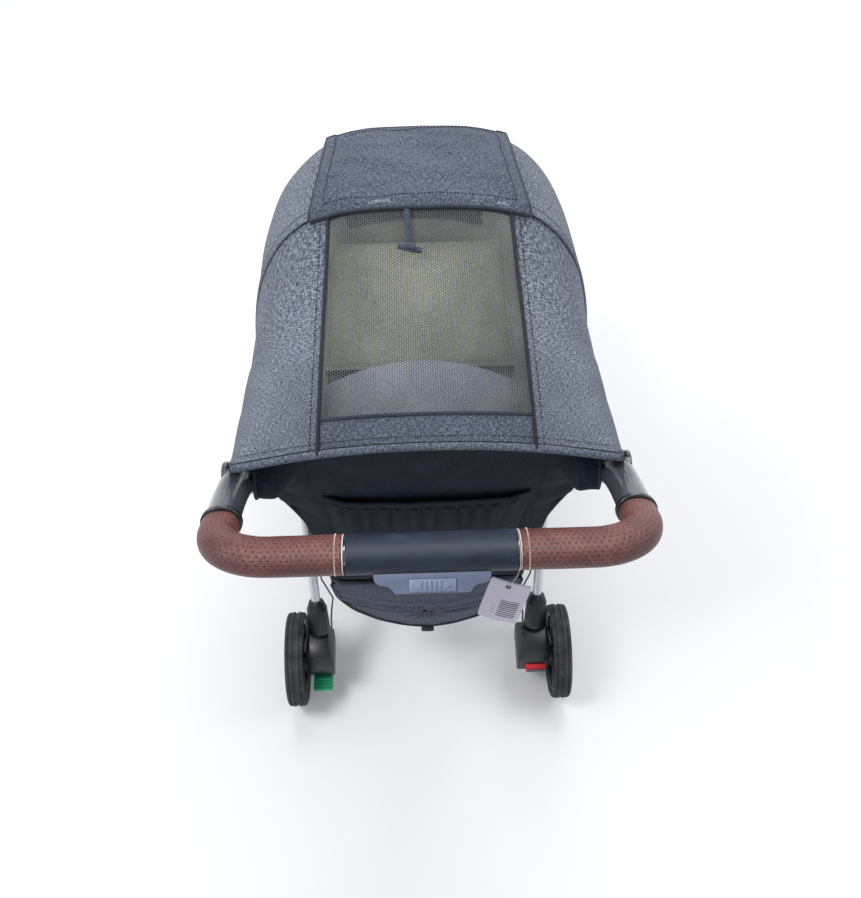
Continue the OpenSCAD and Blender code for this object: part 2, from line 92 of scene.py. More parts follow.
area("key", (-1.5, -0.5, 3.1), (0, 0, 0.7), (1.0, 1.0), 52)
area("fill", (1.8, 0.2, 2.4), (0, 0, 0.6), (1.4, 1.4), 22)
area("top", (0.2, 1.2, 3.2), (0, 0, 0.7), (2.0, 1.4), 44)
area("front", (0.4, 3.2, 1.2), (0, 0, 0.5), (1.6, 1.6), 14)
world = bpy.data.worlds.new("world")
bpy.context.scene.world = world
world.use_nodes = True
world.node_tree.nodes["Background"].inputs[0].default_value = (0.93, 0.95, 1.0, 1)
world.node_tree.nodes["Background"].inputs[1].default_value = 0.55


# ------------------------------------------------------------------ materials
class Mat:
    def __init__(s, name):
        s.m = bpy.data.materials.new(name)
        s.m.use_nodes = True
        s.t = s.m.node_tree
        s.b = s.t.nodes["Principled BSDF"]

    def n(s, typ, ins=None, **kw):
        node = s.t.nodes.new("ShaderNode" + typ)
        for k, v in kw.items():
            setattr(node, k, v)
        for k, v in (ins or {}).items():
            if hasattr(v, "is_output"):
                s.t.links.new(v, node.inputs[k])
            else:
                node.inputs[k].default_value = v
        return node

    def coord(s, kind="Object"):
        return s.n("TexCoord").outputs[kind]

    def scale(s, vec, xyz, rot=(0, 0, 0)):
        return s.n("Mapping", {"Vector": vec, "Scale": xyz, "Rotation": rot}).outputs[0]

    def noise(s, vec, sc, detail=3.0, rough=0.55, dist=0.0):
        return s.n("TexNoise", {"Vector": vec, "Scale": sc, "Detail": detail, "Roughness": rough, "Distortion": dist}).outputs["Fac"]

    def math(s, op, a, b=0.0, c=0.0):
        return s.n("Math", {0: a, 1: b, 2: c}, operation=op).outputs[0]

    def ramp(s, fac, stops):
        node = s.n("ValToRGB", {"Fac": fac})
        e = node.color_ramp.elements
        while len(e) < len(stops):
            e.new(0.5)
        for el, (p, c) in zip(e, stops):
            el.position = p
            el.color = (c[0], c[1], c[2], 1) if hasattr(c, "__len__") else (c, c, c, 1)
        return node.outputs[0]

    def mix(s, fac, a, b):
        node = s.n("Mix", data_type="RGBA")
        for sock, v in ((node.inputs[0], fac), (node.inputs[6], a), (node.inputs[7], b)):
            if hasattr(v, "is_output"):
                s.t.links.new(v, sock)
            elif hasattr(v, "__len__"):
                sock.default_value = (v[0], v[1], v[2], 1)
            else:
                sock.default_value = v
        return node.outputs[2]

    def set(s, **kw):
        names = {"color": "Base Color", "rough": "Roughness", "metal": "Metallic", "spec": "Specular IOR Level",
                 "sheen": "Sheen Weight", "sheen_rough": "Sheen Roughness", "coat": "Coat Weight", "coat_rough": "Coat Roughness", "alpha": "Alpha"}
        for k, v in kw.items():
            sock = s.b.inputs[names[k]]
            if hasattr(v, "is_output"):
                s.t.links.new(v, sock)
            elif hasattr(v, "__len__"):
                sock.default_value = (v[0], v[1], v[2], 1)
            else:
                sock.default_value = v
        return s

    def bump(s, height, strength, dist):
        node = s.n("Bump", {"Height": height, "Strength": strength, "Distance": dist})
        s.t.links.new(node.outputs[0], s.b.inputs["Normal"])
        return s


def srgb(rr, gg, bb):
    return tuple(((c / 255) / 12.92 if c / 255 < 0.04045 else ((c / 255 + 0.055) / 1.055) ** 2.4) for c in (rr, gg, bb))


def heather(name, dark, mid, light, uv=True, bump=0.5, sheen=0.15, grain=1.0):
    """Melange plain weave: dark and light yarn streaks along both thread directions over a fine weave."""
    k = Mat(name)
    co = k.coord("UV" if uv else "Object")
    a = k.noise(k.scale(co, (230 * grain, 820 * grain, 520 * grain)), 1.0, 2.5, 0.65)
    b = k.noise(k.scale(co, (820 * grain, 210 * grain, 430 * grain), (0, 0, 0.12)), 1.0, 2.5, 0.65)
    c = k.noise(co, 1500.0, 1.0)
    big = k.noise(co, 9.0, 3.0)
    s1 = k.math("ADD", k.math("MULTIPLY", a, 0.42), k.math("MULTIPLY", b, 0.42))
    s1 = k.math("ADD", s1, k.math("MULTIPLY", c, 0.10))
    s1 = k.math("ADD", s1, k.math("MULTIPLY", big, 0.10))
    col = k.ramp(s1, [(0.39, dark), (0.5, mid), (0.62, light)])
    w1 = k.n("TexWave", {"Vector": k.scale(co, (1, 1, 1)), "Scale": 330.0, "Distortion": 0.6}, bands_direction="X").outputs["Fac"]
    w2 = k.n("TexWave", {"Vector": k.scale(co, (1, 1, 1)), "Scale": 330.0, "Distortion": 0.6}, bands_direction="Y").outputs["Fac"]
    h = k.math("ADD", k.math("MULTIPLY", w1, w2), k.math("MULTIPLY", s1, 0.9))
    k.set(color=col, rough=k.ramp(s1, [(0.2, 0.82), (0.8, 0.97)]), sheen=sheen, sheen_rough=0.5, spec=0.25)
    return k.bump(h, bump, 0.0006).m


def plastic(name, color, rough=0.5, grain=900.0, bump=0.25, spec=0.5, coat=0.0, var=0.12):
    k = Mat(name)
    co = k.coord()
    n1 = k.noise(co, grain, 3.0)
    n2 = k.noise(co, 25.0, 4.0)
    hi = tuple(min(1, c * (1 + var) + 0.004) for c in color)
    lo = tuple(c * (1 - var) for c in color)
    # painted highlight: convex edges found by pointiness are mixed a quarter of the way towards a lighter tone
    edge = k.n("NewGeometry").outputs["Pointiness"]
    edge_highlight = k.ramp(edge, [(0.52, 0.0), (0.62, 1.0)])
    base = k.ramp(n2, [(0.3, lo), (0.7, hi)])
    col = k.mix(k.math("MULTIPLY", edge_highlight, 0.25), base, tuple(min(1, c * 1.6 + 0.03) for c in color))
    k.set(color=col, rough=k.ramp(n2, [(0.25, max(0.02, rough - 0.07)), (0.75, rough + 0.08)]), spec=spec, coat=coat, coat_rough=0.12)
    return k.bump(n1, bump, 0.0004).m


def metal(name, color, rough=0.3, streak=(40, 40, 900), aniso_bump=0.15):
    k = Mat(name)
    co = k.coord()
    n1 = k.noise(k.scale(co, streak), 1.0, 4.0)
    n2 = k.noise(co, 30.0, 3.0)
    k.set(color=k.ramp(n2, [(0.3, tuple(c * 0.9 for c in color)), (0.7, color)]), metal=1.0, rough=k.ramp(n1, [(0.25, rough - 0.08), (0.8, rough + 0.12)]))
    return k.bump(n1, aniso_bump, 0.0002).m


m_canopy = heather("canopy_heather", srgb(38, 43, 51), srgb(84, 92, 104), srgb(148, 155, 167), sheen=0.06)
# darker copy of the canopy heather for the strip below the net and the hem: painted shade, as the strip tilts away from
# the light
m_strip_shaded = heather("strip_heather_painted_shade", srgb(36, 42, 50), srgb(68, 76, 89), srgb(118, 127, 141), sheen=0.05)
m_flap = heather("flap_heather", srgb(30, 36, 45), srgb(62, 70, 83), srgb(106, 115, 129), sheen=0.05)
# rear panel and pocket: a darker navy fabric, darkened further to about a third as painted shade for the down-facing
# rear wall
m_panel_shaded = heather("panel_heather_painted_shade", srgb(4, 8, 15), srgb(13, 20, 33), srgb(30, 41, 58), sheen=0.0)
m_shell = heather("shell_heather", srgb(14, 17, 22), srgb(34, 39, 48), srgb(62, 70, 84), uv=True)
m_lining = heather("lining_olive", srgb(100, 103, 95), srgb(136, 139, 130), srgb(168, 170, 162), bump=0.3)
m_pad = heather("pad_olive", srgb(104, 105, 92), srgb(138, 139, 124), srgb(168, 168, 152), uv=False, bump=0.35)
m_bolster = heather("cushion_greyblue", srgb(112, 119, 137), srgb(146, 153, 171), srgb(178, 184, 200), uv=False, bump=0.35)
m_basket = heather("basket_cloth", srgb(34, 39, 50), srgb(62, 69, 85), srgb(98, 106, 124), bump=0.5, grain=1.0)
m_bind = heather("binding_tape", srgb(24, 28, 35), srgb(44, 50, 61), srgb(66, 74, 88), bump=0.7, grain=1.5)
m_web = heather("webbing", srgb(34, 40, 50), srgb(58, 66, 80), srgb(88, 98, 114), bump=0.8, grain=1.4)
m_thread = plastic("thread_dark", srgb(26, 30, 38), 0.8, 2500.0, 0.4, 0.2)
m_pipe = plastic("piping_dark", srgb(30, 34, 42), 0.75, 1500.0, 0.4, 0.3)
m_cream = plastic("thread_cream", srgb(226, 212, 190), 0.7, 2500.0, 0.5, 0.2)
m_lightpipe = plastic("piping_light", srgb(196, 190, 184), 0.55, 1200.0, 0.3, 0.4)
m_black = plastic("black_plastic", srgb(17, 18, 22), 0.46, 700.0, 0.35, 0.5)
m_black2 = plastic("black_housing", srgb(11, 13, 22), 0.40, 600.0, 0.3, 0.55)
m_gloss = plastic("arm_gloss", srgb(58, 61, 68), 0.22, 300.0, 0.06, 0.6, coat=0.5)
m_collar = plastic("collar_gloss", srgb(20, 21, 24), 0.25, 500.0, 0.1, 0.6, coat=0.3)
m_slate = plastic("slate_plastic", srgb(108, 118, 142), 0.42, 900.0, 0.25, 0.45)
m_slate2 = plastic("slate_slider", srgb(128, 138, 162), 0.38, 900.0, 0.2, 0.45)
m_icon = plastic("icon_relief", srgb(60, 68, 92), 0.5, 900.0, 0.2, 0.4)
m_green = plastic("pedal_green", srgb(22, 150, 104), 0.38, 700.0, 0.2, 0.5)
m_red = plastic("pedal_red", srgb(232, 38, 48), 0.38, 700.0, 0.2, 0.5)
m_grey = plastic("pedal_shoe", srgb(92, 96, 104), 0.5, 700.0, 0.3, 0.4)
m_frame = plastic("frame_paint", srgb(52, 55, 62), 0.34, 800.0, 0.15, 0.5, coat=0.25)
m_alu = metal("leg_aluminium", srgb(205, 206, 214), 0.3)
m_steel = metal("steel", srgb(170, 170, 176), 0.3, (300, 300, 300))
m_cable = plastic("cable_sheath", srgb(70, 72, 76), 0.4, 1200.0, 0.15, 0.5)
m_board = plastic("base_board", srgb(52, 54, 58), 0.7, 500.0, 0.5, 0.3)


def make_tyre():
    k = Mat("tyre_rubber")
    co = k.coord()
    n1 = k.noise(co, 380.0, 4.0)
    dust = k.noise(co, 42.0, 5.0)
    col = k.ramp(dust, [(0.35, srgb(44, 46, 50)), (0.62, srgb(66, 68, 72)), (0.8, srgb(92, 92, 92))])
    k.set(color=col, rough=k.ramp(n1, [(0.2, 0.66), (0.8, 0.9)]), spec=0.3)
    return k.bump(n1, 0.5, 0.0006).m


def make_leather():
    """Brown leather cover with staggered punched dots in UV metres, pebble grain and rubbed highlights."""
    k = Mat("leather_brown")
    uv = k.coord("UV")
    co = k.coord()
    sep = k.n("SeparateXYZ", {0: uv})
    pu, pv = 0.0062, 0.0052
    row = k.math("DIVIDE", sep.outputs[1], pv)
    par = k.math("MULTIPLY", k.math("MODULO", k.math("ABSOLUTE", k.math("FLOOR", row)), 2.0), 0.5)
    u = k.math("SUBTRACT", k.math("FRACT", k.math("ADD", k.math("DIVIDE", sep.outputs[0], pu), par)), 0.5)
    v = k.math("SUBTRACT", k.math("FRACT", row), 0.5)
    dist = k.math("SQRT", k.math("ADD", k.math("POWER", k.math("MULTIPLY", u, pu * 1000), 2.0), k.math("POWER", k.math("MULTIPLY", v, pv * 1000), 2.0)))
    hole = k.ramp(k.math("DIVIDE", dist, 2.0), [(0.44, 0.0), (0.60, 1.0)])
    g1 = k.n("TexVoronoi", {"Vector": co, "Scale": 620.0}, feature="DISTANCE_TO_EDGE").outputs[0]
    g2 = k.noise(co, 60.0, 5.0)
    g3 = k.noise(co, 14.0, 3.0)
    base = k.ramp(k.math("ADD", k.math("MULTIPLY", g2, 0.5), k.math("MULTIPLY", g3, 0.5)), [(0.34, srgb(78, 41, 39)), (0.5, srgb(98, 55, 52)), (0.68, srgb(120, 74, 70))])
    col = k.mix(hole, srgb(46, 20, 19), base)
    k.set(color=col, rough=k.ramp(g2, [(0.25, 0.34), (0.75, 0.50)]), spec=0.55)
    h = k.math("ADD", k.math("MULTIPLY", hole, 1.0), k.math("MULTIPLY", g1, 2.2))
    return k.bump(h, 0.6, 0.0006).m


def make_navy():
    k = Mat("grip_navy")
    co = k.coord()
    g1 = k.n("TexVoronoi", {"Vector": co, "Scale": 900.0}, feature="DISTANCE_TO_EDGE").outputs[0]
    g2 = k.noise(co, 35.0, 5.0)
    k.set(color=k.ramp(g2, [(0.3, srgb(16, 26, 41)), (0.55, srgb(23, 35, 52)), (0.8, srgb(34, 47, 65))]), rough=k.ramp(g2, [(0.3, 0.44), (0.7, 0.6)]), spec=0.45)
    return k.bump(k.math("ADD", k.math("MULTIPLY", g1, 1.2), g2), 0.3, 0.0005).m


def make_net():
    """Knitted window net: rows of round holes, staggered, with an open share that shows the cabin."""
    k = Mat("window_net")
    uv = k.coord("UV")
    sep = k.n("SeparateXYZ", {0: uv})
    pu, pv = 0.0030, 0.0026
    row = k.math("DIVIDE", sep.outputs[1], pv)
    par = k.math("MULTIPLY", k.math("MODULO", k.math("ABSOLUTE", k.math("FLOOR", row)), 2.0), 0.5)
    u = k.math("SUBTRACT", k.math("FRACT", k.math("ADD", k.math("DIVIDE", sep.outputs[0], pu), par)), 0.5)
    v = k.math("SUBTRACT", k.math("FRACT", row), 0.5)
    dist = k.math("SQRT", k.math("ADD", k.math("POWER", u, 2.0), k.math("POWER", v, 2.0)))
    solid = k.ramp(dist, [(0.33, 0.0), (0.43, 1.0)])
    big = k.noise(uv, 14.0, 4.0)
    yarn = k.noise(uv, 900.0, 2.0)
    col = k.ramp(k.math("ADD", k.math("MULTIPLY", big, 0.5), k.math("MULTIPLY", yarn, 0.5)), [(0.35, srgb(62, 66, 70)), (0.5, srgb(86, 89, 90)), (0.68, srgb(120, 122, 120))])
    k.set(color=col, rough=0.75, spec=0.3, alpha=solid, sheen=0.1)
    return k.bump(dist, 0.5, 0.0006).m


def make_tag():
    """Pale card with a plain block of uneven bars and grey rules, no lettering. UV runs 0..1 over the card."""
    k = Mat("tag_card")
    sep = k.n("SeparateXYZ", {0: k.coord("UV")})
    u, v = sep.outputs[0], sep.outputs[1]

    def band(x, lo, hi):
        return k.math("MULTIPLY", k.math("GREATER_THAN", x, lo), k.math("LESS_THAN", x, hi))

    bars = k.n("TexNoise", {"W": k.math("MULTIPLY", v, 46.0), "Scale": 1.0, "Detail": 0.0}, noise_dimensions="1D").outputs["Fac"]
    bars = k.math("GREATER_THAN", k.math("ADD", k.math("FRACT", k.math("MULTIPLY", v, 20.0)), k.math("MULTIPLY", bars, 0.35)), 0.68)
    block = k.math("MULTIPLY", bars, k.math("MULTIPLY", band(u, 0.42, 0.88), band(v, 0.10, 0.54)))
    rules = k.math("MULTIPLY", k.math("GREATER_THAN", k.math("FRACT", k.math("MULTIPLY", v, 22.0)), 0.62), k.math("MULTIPLY", band(u, 0.24, 0.36), band(v, 0.14, 0.42)))
    ink = k.math("MAXIMUM", block, k.math("MULTIPLY", rules, 0.35))
    fib = k.noise(k.coord(), 900.0, 4.0)
    paper = k.ramp(fib, [(0.3, srgb(196, 190, 206)), (0.7, srgb(216, 212, 224))])
    k.set(color=k.mix(ink, paper, srgb(44, 44, 52)), rough=0.55, spec=0.4)
    return k.bump(fib, 0.15, 0.0003).m


m_tyre, m_leather, m_navy, m_net, m_tag = make_tyre(), make_leather(), make_navy(), make_net(), make_tag()


# ------------------------------------------------------------------ mesh helpers
def mesh_obj(name, verts, faces, mat, uvs=None, smooth=True):
    me = bpy.data.meshes.new(name)
    me.from_pydata([tuple(float(c) for c in v) for v in verts], [], [tuple(int(i) for i in q) for q in faces])
    me.update()
    o = bpy.data.objects.new(name, me)
    bpy.context.collection.objects.link(o)
    me.materials.append(mat)
    if uvs is not None:
        lay = me.uv_layers.new(name="UVMap")
        idx = np.zeros(len(me.loops), int)
        me.loops.foreach_get("vertex_index", idx)
        lay.data.foreach_set("uv", np.asarray(uvs, float)[idx].ravel())
    if smooth:
        me.polygons.foreach_set("use_smooth", [True] * len(me.polygons))
    return o


def grid(name, P, mat, uv=None, close_u=False, close_v=False, caps=False, flip=False):
    """P is an (nu, nv, 3) array. uv defaults to arc length in metres."""
    P = np.asarray(P, float)
    nu, nv = P.shape[:2]
    if uv is None:
        du = np.concatenate([[0], np.cumsum(np.linalg.norm(np.diff(P, axis=0), axis=2).mean(1))])
        dv = np.concatenate([[0], np.cumsum(np.linalg.norm(np.diff(P, axis=1), axis=2).mean(0))])
        uv = np.stack(np.broadcast_arrays(du[:, None], dv[None, :]), 2)
    F = []
    for i in range(nu if close_u else nu - 1):
        for j in range(nv if close_v else nv - 1):
            a, b = i * nv + j, ((i + 1) % nu) * nv + j
            c, e = ((i + 1) % nu) * nv + (j + 1) % nv, i * nv + (j + 1) % nv
            F.append((a, e, c, b) if flip else (a, b, c, e))
    if caps and close_v:
        F.append(tuple(range(nv)) if not flip else tuple(reversed(range(nv))))
        F.append(tuple(reversed([(nu - 1) * nv + j for j in range(nv)])) if not flip else tuple((nu - 1) * nv + j for j in range(nv)))
    o = mesh_obj(name, P.reshape(-1, 3), F, mat, uv.reshape(-1, 2))
    bm = bmesh.new()
    bm.from_mesh(o.data)
    if caps:
        bmesh.ops.recalc_face_normals(bm, faces=bm.faces)
    bm.to_mesh(o.data)
    bm.free()
    return o


def apply(o, *mods):
    """Adds modifiers given as (type, settings), applies them and returns o."""
    for typ, kw in mods:
        md = o.modifiers.new(typ, typ)
        for k, v in kw.items():
            setattr(md, k, v)
    dg = bpy.context.evaluated_depsgraph_get()
    me = bpy.data.meshes.new_from_object(o.evaluated_get(dg), depsgraph=dg)
    o.modifiers.clear()
    o.data = me
    return o


def thick(o, t, offset=0.0):
    return apply(o, ("SOLIDIFY", {"thickness": t, "offset": offset, "use_rim": True}))


def resample(path, n, closed=False):
    path = np.asarray(path, float)
    if closed:
        path = np.vstack([path, path[:1]])
    s = np.concatenate([[0], np.cumsum(np.linalg.norm(np.diff(path, axis=0), axis=1))])
    t = np.linspace(0, s[-1], n + (1 if closed else 0))
    out = np.stack([np.interp(t, s, path[:, i]) for i in range(path.shape[1])], 1)
    return out[:-1] if closed else out


def smooth_path(path, n, rounds=3):
    p = resample(path, n)
    for _ in range(rounds):
        p[1:-1] = 0.25 * p[:-2] + 0.5 * p[1:-1] + 0.25 * p[2:]
    return p


def tube(name, path, ra, mat, rb=None, up=(0, 0, 1), k=10, closed=False):
    """Sweeps an ellipse ra (along up) by rb (across) along path, with capped ends."""
    path = np.asarray(path, float)
    rb = ra if rb is None else rb
    n = len(path)
    if closed:
        T = np.roll(path, -1, 0) - np.roll(path, 1, 0)
    else:
        T = np.gradient(path, axis=0)
    T /= np.linalg.norm(T, axis=1)[:, None] + 1e-12
    U = np.broadcast_to(np.asarray(up, float), T.shape) if np.ndim(up) < 2 else np.asarray(up, float)
    B = np.cross(T, U)
    B /= np.linalg.norm(B, axis=1)[:, None] + 1e-12
    N = np.cross(B, T)
    ang = np.linspace(0, 2 * pi, k, endpoint=False)
    ra = np.broadcast_to(ra, (n,))
    rb = np.broadcast_to(rb, (n,))
    P = path[:, None] + ra[:, None, None] * np.cos(ang)[None, :, None] * N[:, None] + rb[:, None, None] * np.sin(ang)[None, :, None] * B[:, None]
    s = np.concatenate([[0], np.cumsum(np.linalg.norm(np.diff(path, axis=0), axis=1))])
    per = 2 * pi * float(np.mean((ra + rb) / 2))
    uv = np.stack(np.broadcast_arrays(s[:, None], (ang / (2 * pi) * per)[None]), 2)
    return grid(name, P, mat, uv=uv, close_v=True, close_u=closed, caps=not closed)


def join(name, objs):
    objs = [o for o in objs if o]
    for o in bpy.context.selected_objects:
        o.select_set(False)
    for o in objs:
        o.select_set(True)
    bpy.context.view_layer.objects.active = objs[0]
    bpy.ops.object.join()
    o = bpy.context.view_layer.objects.active
    o.name = name
    return o


def stitches(name, path, normal, mat, pitch=0.0042, length=0.0028, rad=0.0005, lift=0.0004):
    """A row of thread stitches lying along path, slightly proud along normal."""
    path = np.asarray(path, float)
    normal = np.broadcast_to(np.asarray(normal, float), path.shape)
    s = np.concatenate([[0], np.cumsum(np.linalg.norm(np.diff(path, axis=0), axis=1))])
    n = max(2, int(s[-1] / pitch))
    V, F = [], []
    at = lambda x, A: np.array([np.interp(x, s, A[:, i]) for i in range(3)])
    for i in range(n):
        a, b = i * pitch + 0.0004, i * pitch + 0.0004 + length
        if b > s[-1]:
            break
        pa, pb, pm = at(a, path), at(b, path), at((a + b) / 2, path)
        nn = at((a + b) / 2, normal)
        nn /= np.linalg.norm(nn) + 1e-12
        t = (pb - pa) / (np.linalg.norm(pb - pa) + 1e-12)
        sd = np.cross(t, nn)
        base = len(V)
        for q, w, h in ((pa, 0.5, -0.3), (pa * 0.7 + pb * 0.3, 1, lift / rad), (pa * 0.3 + pb * 0.7, 1, lift / rad), (pb, 0.5, -0.3)):
            for j in range(5):
                an = 2 * pi * j / 5
                V.append(q + nn * rad * h + (sd * math.cos(an) + nn * math.sin(an)) * rad * w)
        for ring in range(3):
            for j in range(5):
                a0, a1 = base + ring * 5 + j, base + ring * 5 + (j + 1) % 5
                F.append((a0, a1, a1 + 5, a0 + 5))
        F.append(tuple(base + j for j in reversed(range(5))))
        F.append(tuple(base + 15 + j for j in range(5)))
    return mesh_obj(name, V, F, mat)


def fn(p, s, seed=0.0):
    return noise.noise(Vector((p[0] * s + seed, p[1] * s + seed * 1.7, p[2] * s - seed)))


def smoothstep(a, b, x):
    t = np.clip((x - a) / (b - a), 0, 1)
    return t * t * (3 - 2 * t)


# ------------------------------------------------------------------ canopy surface
PV = np.array([0.0, -0.076, 0.654])
A2 = np.array([0.016, 0.4375])     # mid bow apex, relative to the pivot (y, z)
B2 = np.array([-0.219, 0.2825])    # hem centre
PHI_H, PHI_M, PHI_F = 127.6, 88.0, 38.0


def apex(phi):
    c, s_ = math.cos(math.radians(phi)), math.sin(math.radians(phi))
    if phi >= PHI_M:
        dd = B2 - A2
        den = c * dd[1] - s_ * dd[0]
        rr = (A2[0] * dd[1] - A2[1] * dd[0]) / den
        u = (PHI_H - phi) / (PHI_H - PHI_M)
        return rr + 0.007 * math.sin(pi * max(0, min(1, u)))
    return float(np.interp(phi, [38, 44, 50, 58, 66, 74, 82, 88], [0.3645, 0.382, 0.3985, 0.4125, 0.424, 0.4325, 0.4365, 0.4375]))


def half_w(phi):
    return float(np.interp(phi, [38, 50, 66, 88, 100, 112, 120, 127.6], [0.213, 0.2145, 0.2155, 0.216, 0.2165, 0.2185, 0.2225, 0.2295]))


def square(phi):
    return float(np.interp(phi, [38, 66, 88, 98, 108, 118, 127.6], [3.3, 3.3, 3.3, 3.7, 4.8, 8.0, 17.0]))


def arch_pt(phi, x=None, a=None, off=0.0):
    """Point on the canopy at bow angle phi, given x on the top or the superellipse angle a."""
    W, R, n = half_w(phi) + off, apex(phi) + off, square(phi)
    if x is None:
        ca, sa = math.cos(a), math.sin(a)
        x = W * math.copysign(abs(ca) ** (2 / n), ca)
        rr = R * abs(sa) ** (2 / n)
    else:
        rr = R * (1 - min(1, abs(x / W)) ** n) ** (1 / n)
    c, s_ = math.cos(math.radians(phi)), math.sin(math.radians(phi))
    pull = float(smoothstep(108, PHI_H, phi)) * float(smoothstep(0.19, 0.32, rr)) * min(1.2, abs(x) / 0.22) ** 2.2
    return np.array([x, PV[1] + rr * c - 0.021 * pull, PV[2] + rr * s_ - 0.004 * pull]), rr


def win_half(phi):
    u = (phi - PHI_M) / (PHI_H - PHI_M)
    return 0.1035 + 0.021 * u


def side_curve(phi, sign, n, rmin, off=0.0):
    """From the window border down the side to radius rmin."""
    W, R, q = half_w(phi) + off, apex(phi) + off, square(phi)
    xw = win_half(phi) if phi >= PHI_M else 0.1035
    a0 = math.acos(min(1, (xw / W) ** (q / 2)))
    a1 = math.asin(min(1, (rmin / R) ** (q / 2)))
    dense = []
    for t in np.linspace(0, 1, 160):
        a = a0 + (a1 - a0) * t
        p, rr = arch_pt(phi, a=a, off=off)
        dense.append(p)
    pts = resample(dense, n)
    pts[:, 0] *= sign
    return pts


def r_min_rear(phi):
    return 0.045 + 0.235 * float(smoothstep(101, 124.5, phi)) ** 1.15


def r_min_front(phi):
    return 0.045 + 0.03 * float(smoothstep(60, 38, phi))


def cloth_noise(P, amp, s, seed):
    Q = P.copy()
    for i in range(P.shape[0]):
        for j in range(P.shape[1]):
            p = P[i, j]
            c = PV + np.array([p[0] * 0.4, 0, 0])
            nrm = p - c
            nrm /= np.linalg.norm(nrm)
            Q[i, j] = p + nrm * amp * (fn(p, s, seed) + 0.4 * fn(p, s * 2.7, seed + 5))
    return Q


def side_panel(name, sign, phis, rmin, amp, seed, belly=0.0):
    P = np.array([side_curve(ph, sign, 70, rmin(ph)) for ph in phis])
    n0, n1 = P.shape[:2]
    fade_u = np.minimum(1, np.minimum(np.arange(n0), np.arange(n0)[::-1]) / 5.0)
    fade_v = np.minimum(1, np.arange(n1) / 6.0)
    Q = cloth_noise(P, amp, 9.0, seed)
    w = (fade_u[:, None] * fade_v[None])[..., None]
    P = P + (Q - P) * w
    if belly:
        t = np.linspace(0, 1, n0)[:, None]
        v = np.linspace(0, 1, n1)[None]
        P[..., 0] += sign * belly * (np.sin(pi * t) * np.sin(pi * np.clip(v, 0, 1)))
    return P


phis_rear = np.concatenate([[127.6, 127.2], np.linspace(126.2, 89.0, 62), [88.3, 88.0]])
phis_front = np.concatenate([[88.0, 87.6], np.linspace(86.8, 39.0, 66), [38.4, 38.0]])
rear_parts, front_parts = [], []

# sides of the rear section
for sign, nm in ((-1, "left"), (1, "right")):
    P = side_panel("s", sign, phis_rear, r_min_rear, 0.0028, 3.0 + sign, belly=0.0)
    o = grid("canopy_side_" + nm, P, m_canopy, flip=sign > 0)
    thick(o, 0.0016)
    rear_parts.append(o)
    # side edge binding
    edge = P[:, -1]
    b = tube("canopy_side_bind_" + nm, smooth_path(edge, 60, 2), 0.0045, m_bind, rb=0.0016, up=(0, 0.2, 1))
    rear_parts.append(b)

# window zone: net above, cloth strip below
def top_zone(phis, n, xw=win_half, off=0.0):
    rows = []
    for ph in phis:
        w = xw(ph)
        rows.append([arch_pt(ph, x=xx, off=off)[0] for xx in np.linspace(-w, w, n)])
    return np.array(rows)


PHI_STRIP = 121.6
# the cloth strip takes the darker copy of the canopy heather, which carries painted shade
P = top_zone(np.linspace(127.6, PHI_STRIP, 12), 60)
o = thick(grid("canopy_rear_strip", cloth_noise(P, 0.0006, 20, 1), m_strip_shaded, flip=True), 0.0016)
rear_parts.append(o)
P = top_zone(np.linspace(PHI_STRIP + 0.3, 88.0, 60), 60)
crease = P.copy()
n0, n1 = P.shape[:2]
for i in range(n0):
    for j in range(n1):
        u, v = j / (n1 - 1) * 2 - 1, i / (n0 - 1)
        fade = math.sin(pi * min(1, max(0, v))) * (1 - u * u)
        w = -0.010 * fade
        dd1 = abs((u + 0.95) - (1 - v) * 0.85)
        dd2 = abs((0.95 - u) - (1 - v) * 0.7)
        w += 0.0030 * math.exp(-(dd1 / 0.06) ** 2) * fade ** 0.5 + 0.0024 * math.exp(-(dd2 / 0.05) ** 2) * fade ** 0.5
        w += 0.0012 * fn(P[i, j], 16, 4) * fade
        crease[i, j] = P[i, j] + np.array([0, -0.548, 0.836]) * w
net = grid("window_net_cloth", crease, m_net, flip=True)

# seams: piping and double stitching along the window borders and round the window
normal_top = np.array([0, -0.548, 0.836])
for sign, nm in ((-1, "left"), (1, "right")):
    path = np.array([arch_pt(ph, x=sign * win_half(ph), off=0.0016)[0] for ph in np.linspace(127.6, 88.0, 80)])
    rear_parts.append(tube("window_pipe_" + nm, path, 0.0020, m_pipe, up=(1, 0, 0), k=8))
    for kk, gap in enumerate((0.0090,)):
        pth = np.array([arch_pt(ph, x=sign * (win_half(ph) + gap), off=0.0013)[0] for ph in np.linspace(127.4, 88.6, 80)])
        rear_parts.append(stitches("window_stitch_%s_%d" % (nm, kk), pth, normal_top, m_thread))
pth = np.array([arch_pt(PHI_STRIP, x=xx, off=0.0014)[0] for xx in np.linspace(-0.120, 0.120, 60)])
rear_parts.append(tube("window_foot_tape", pth, 0.0022, m_bind, rb=0.0009, up=(0, -0.836, -0.548), k=8))

# hem binding and its stitch line
def hem_path(phi, off, n=150):
    L = side_curve(phi, -1, 60, r_min_rear(phi), off)[::-1]
    R = side_curve(phi, 1, 60, r_min_rear(phi), off)
    T = np.array([arch_pt(phi, x=xx, off=off)[0] for xx in np.linspace(-win_half(phi), win_half(phi), 40)])
    return resample(np.vstack([L, T[1:-1], R]), n)


hp = hem_path(127.6, 0.0006)
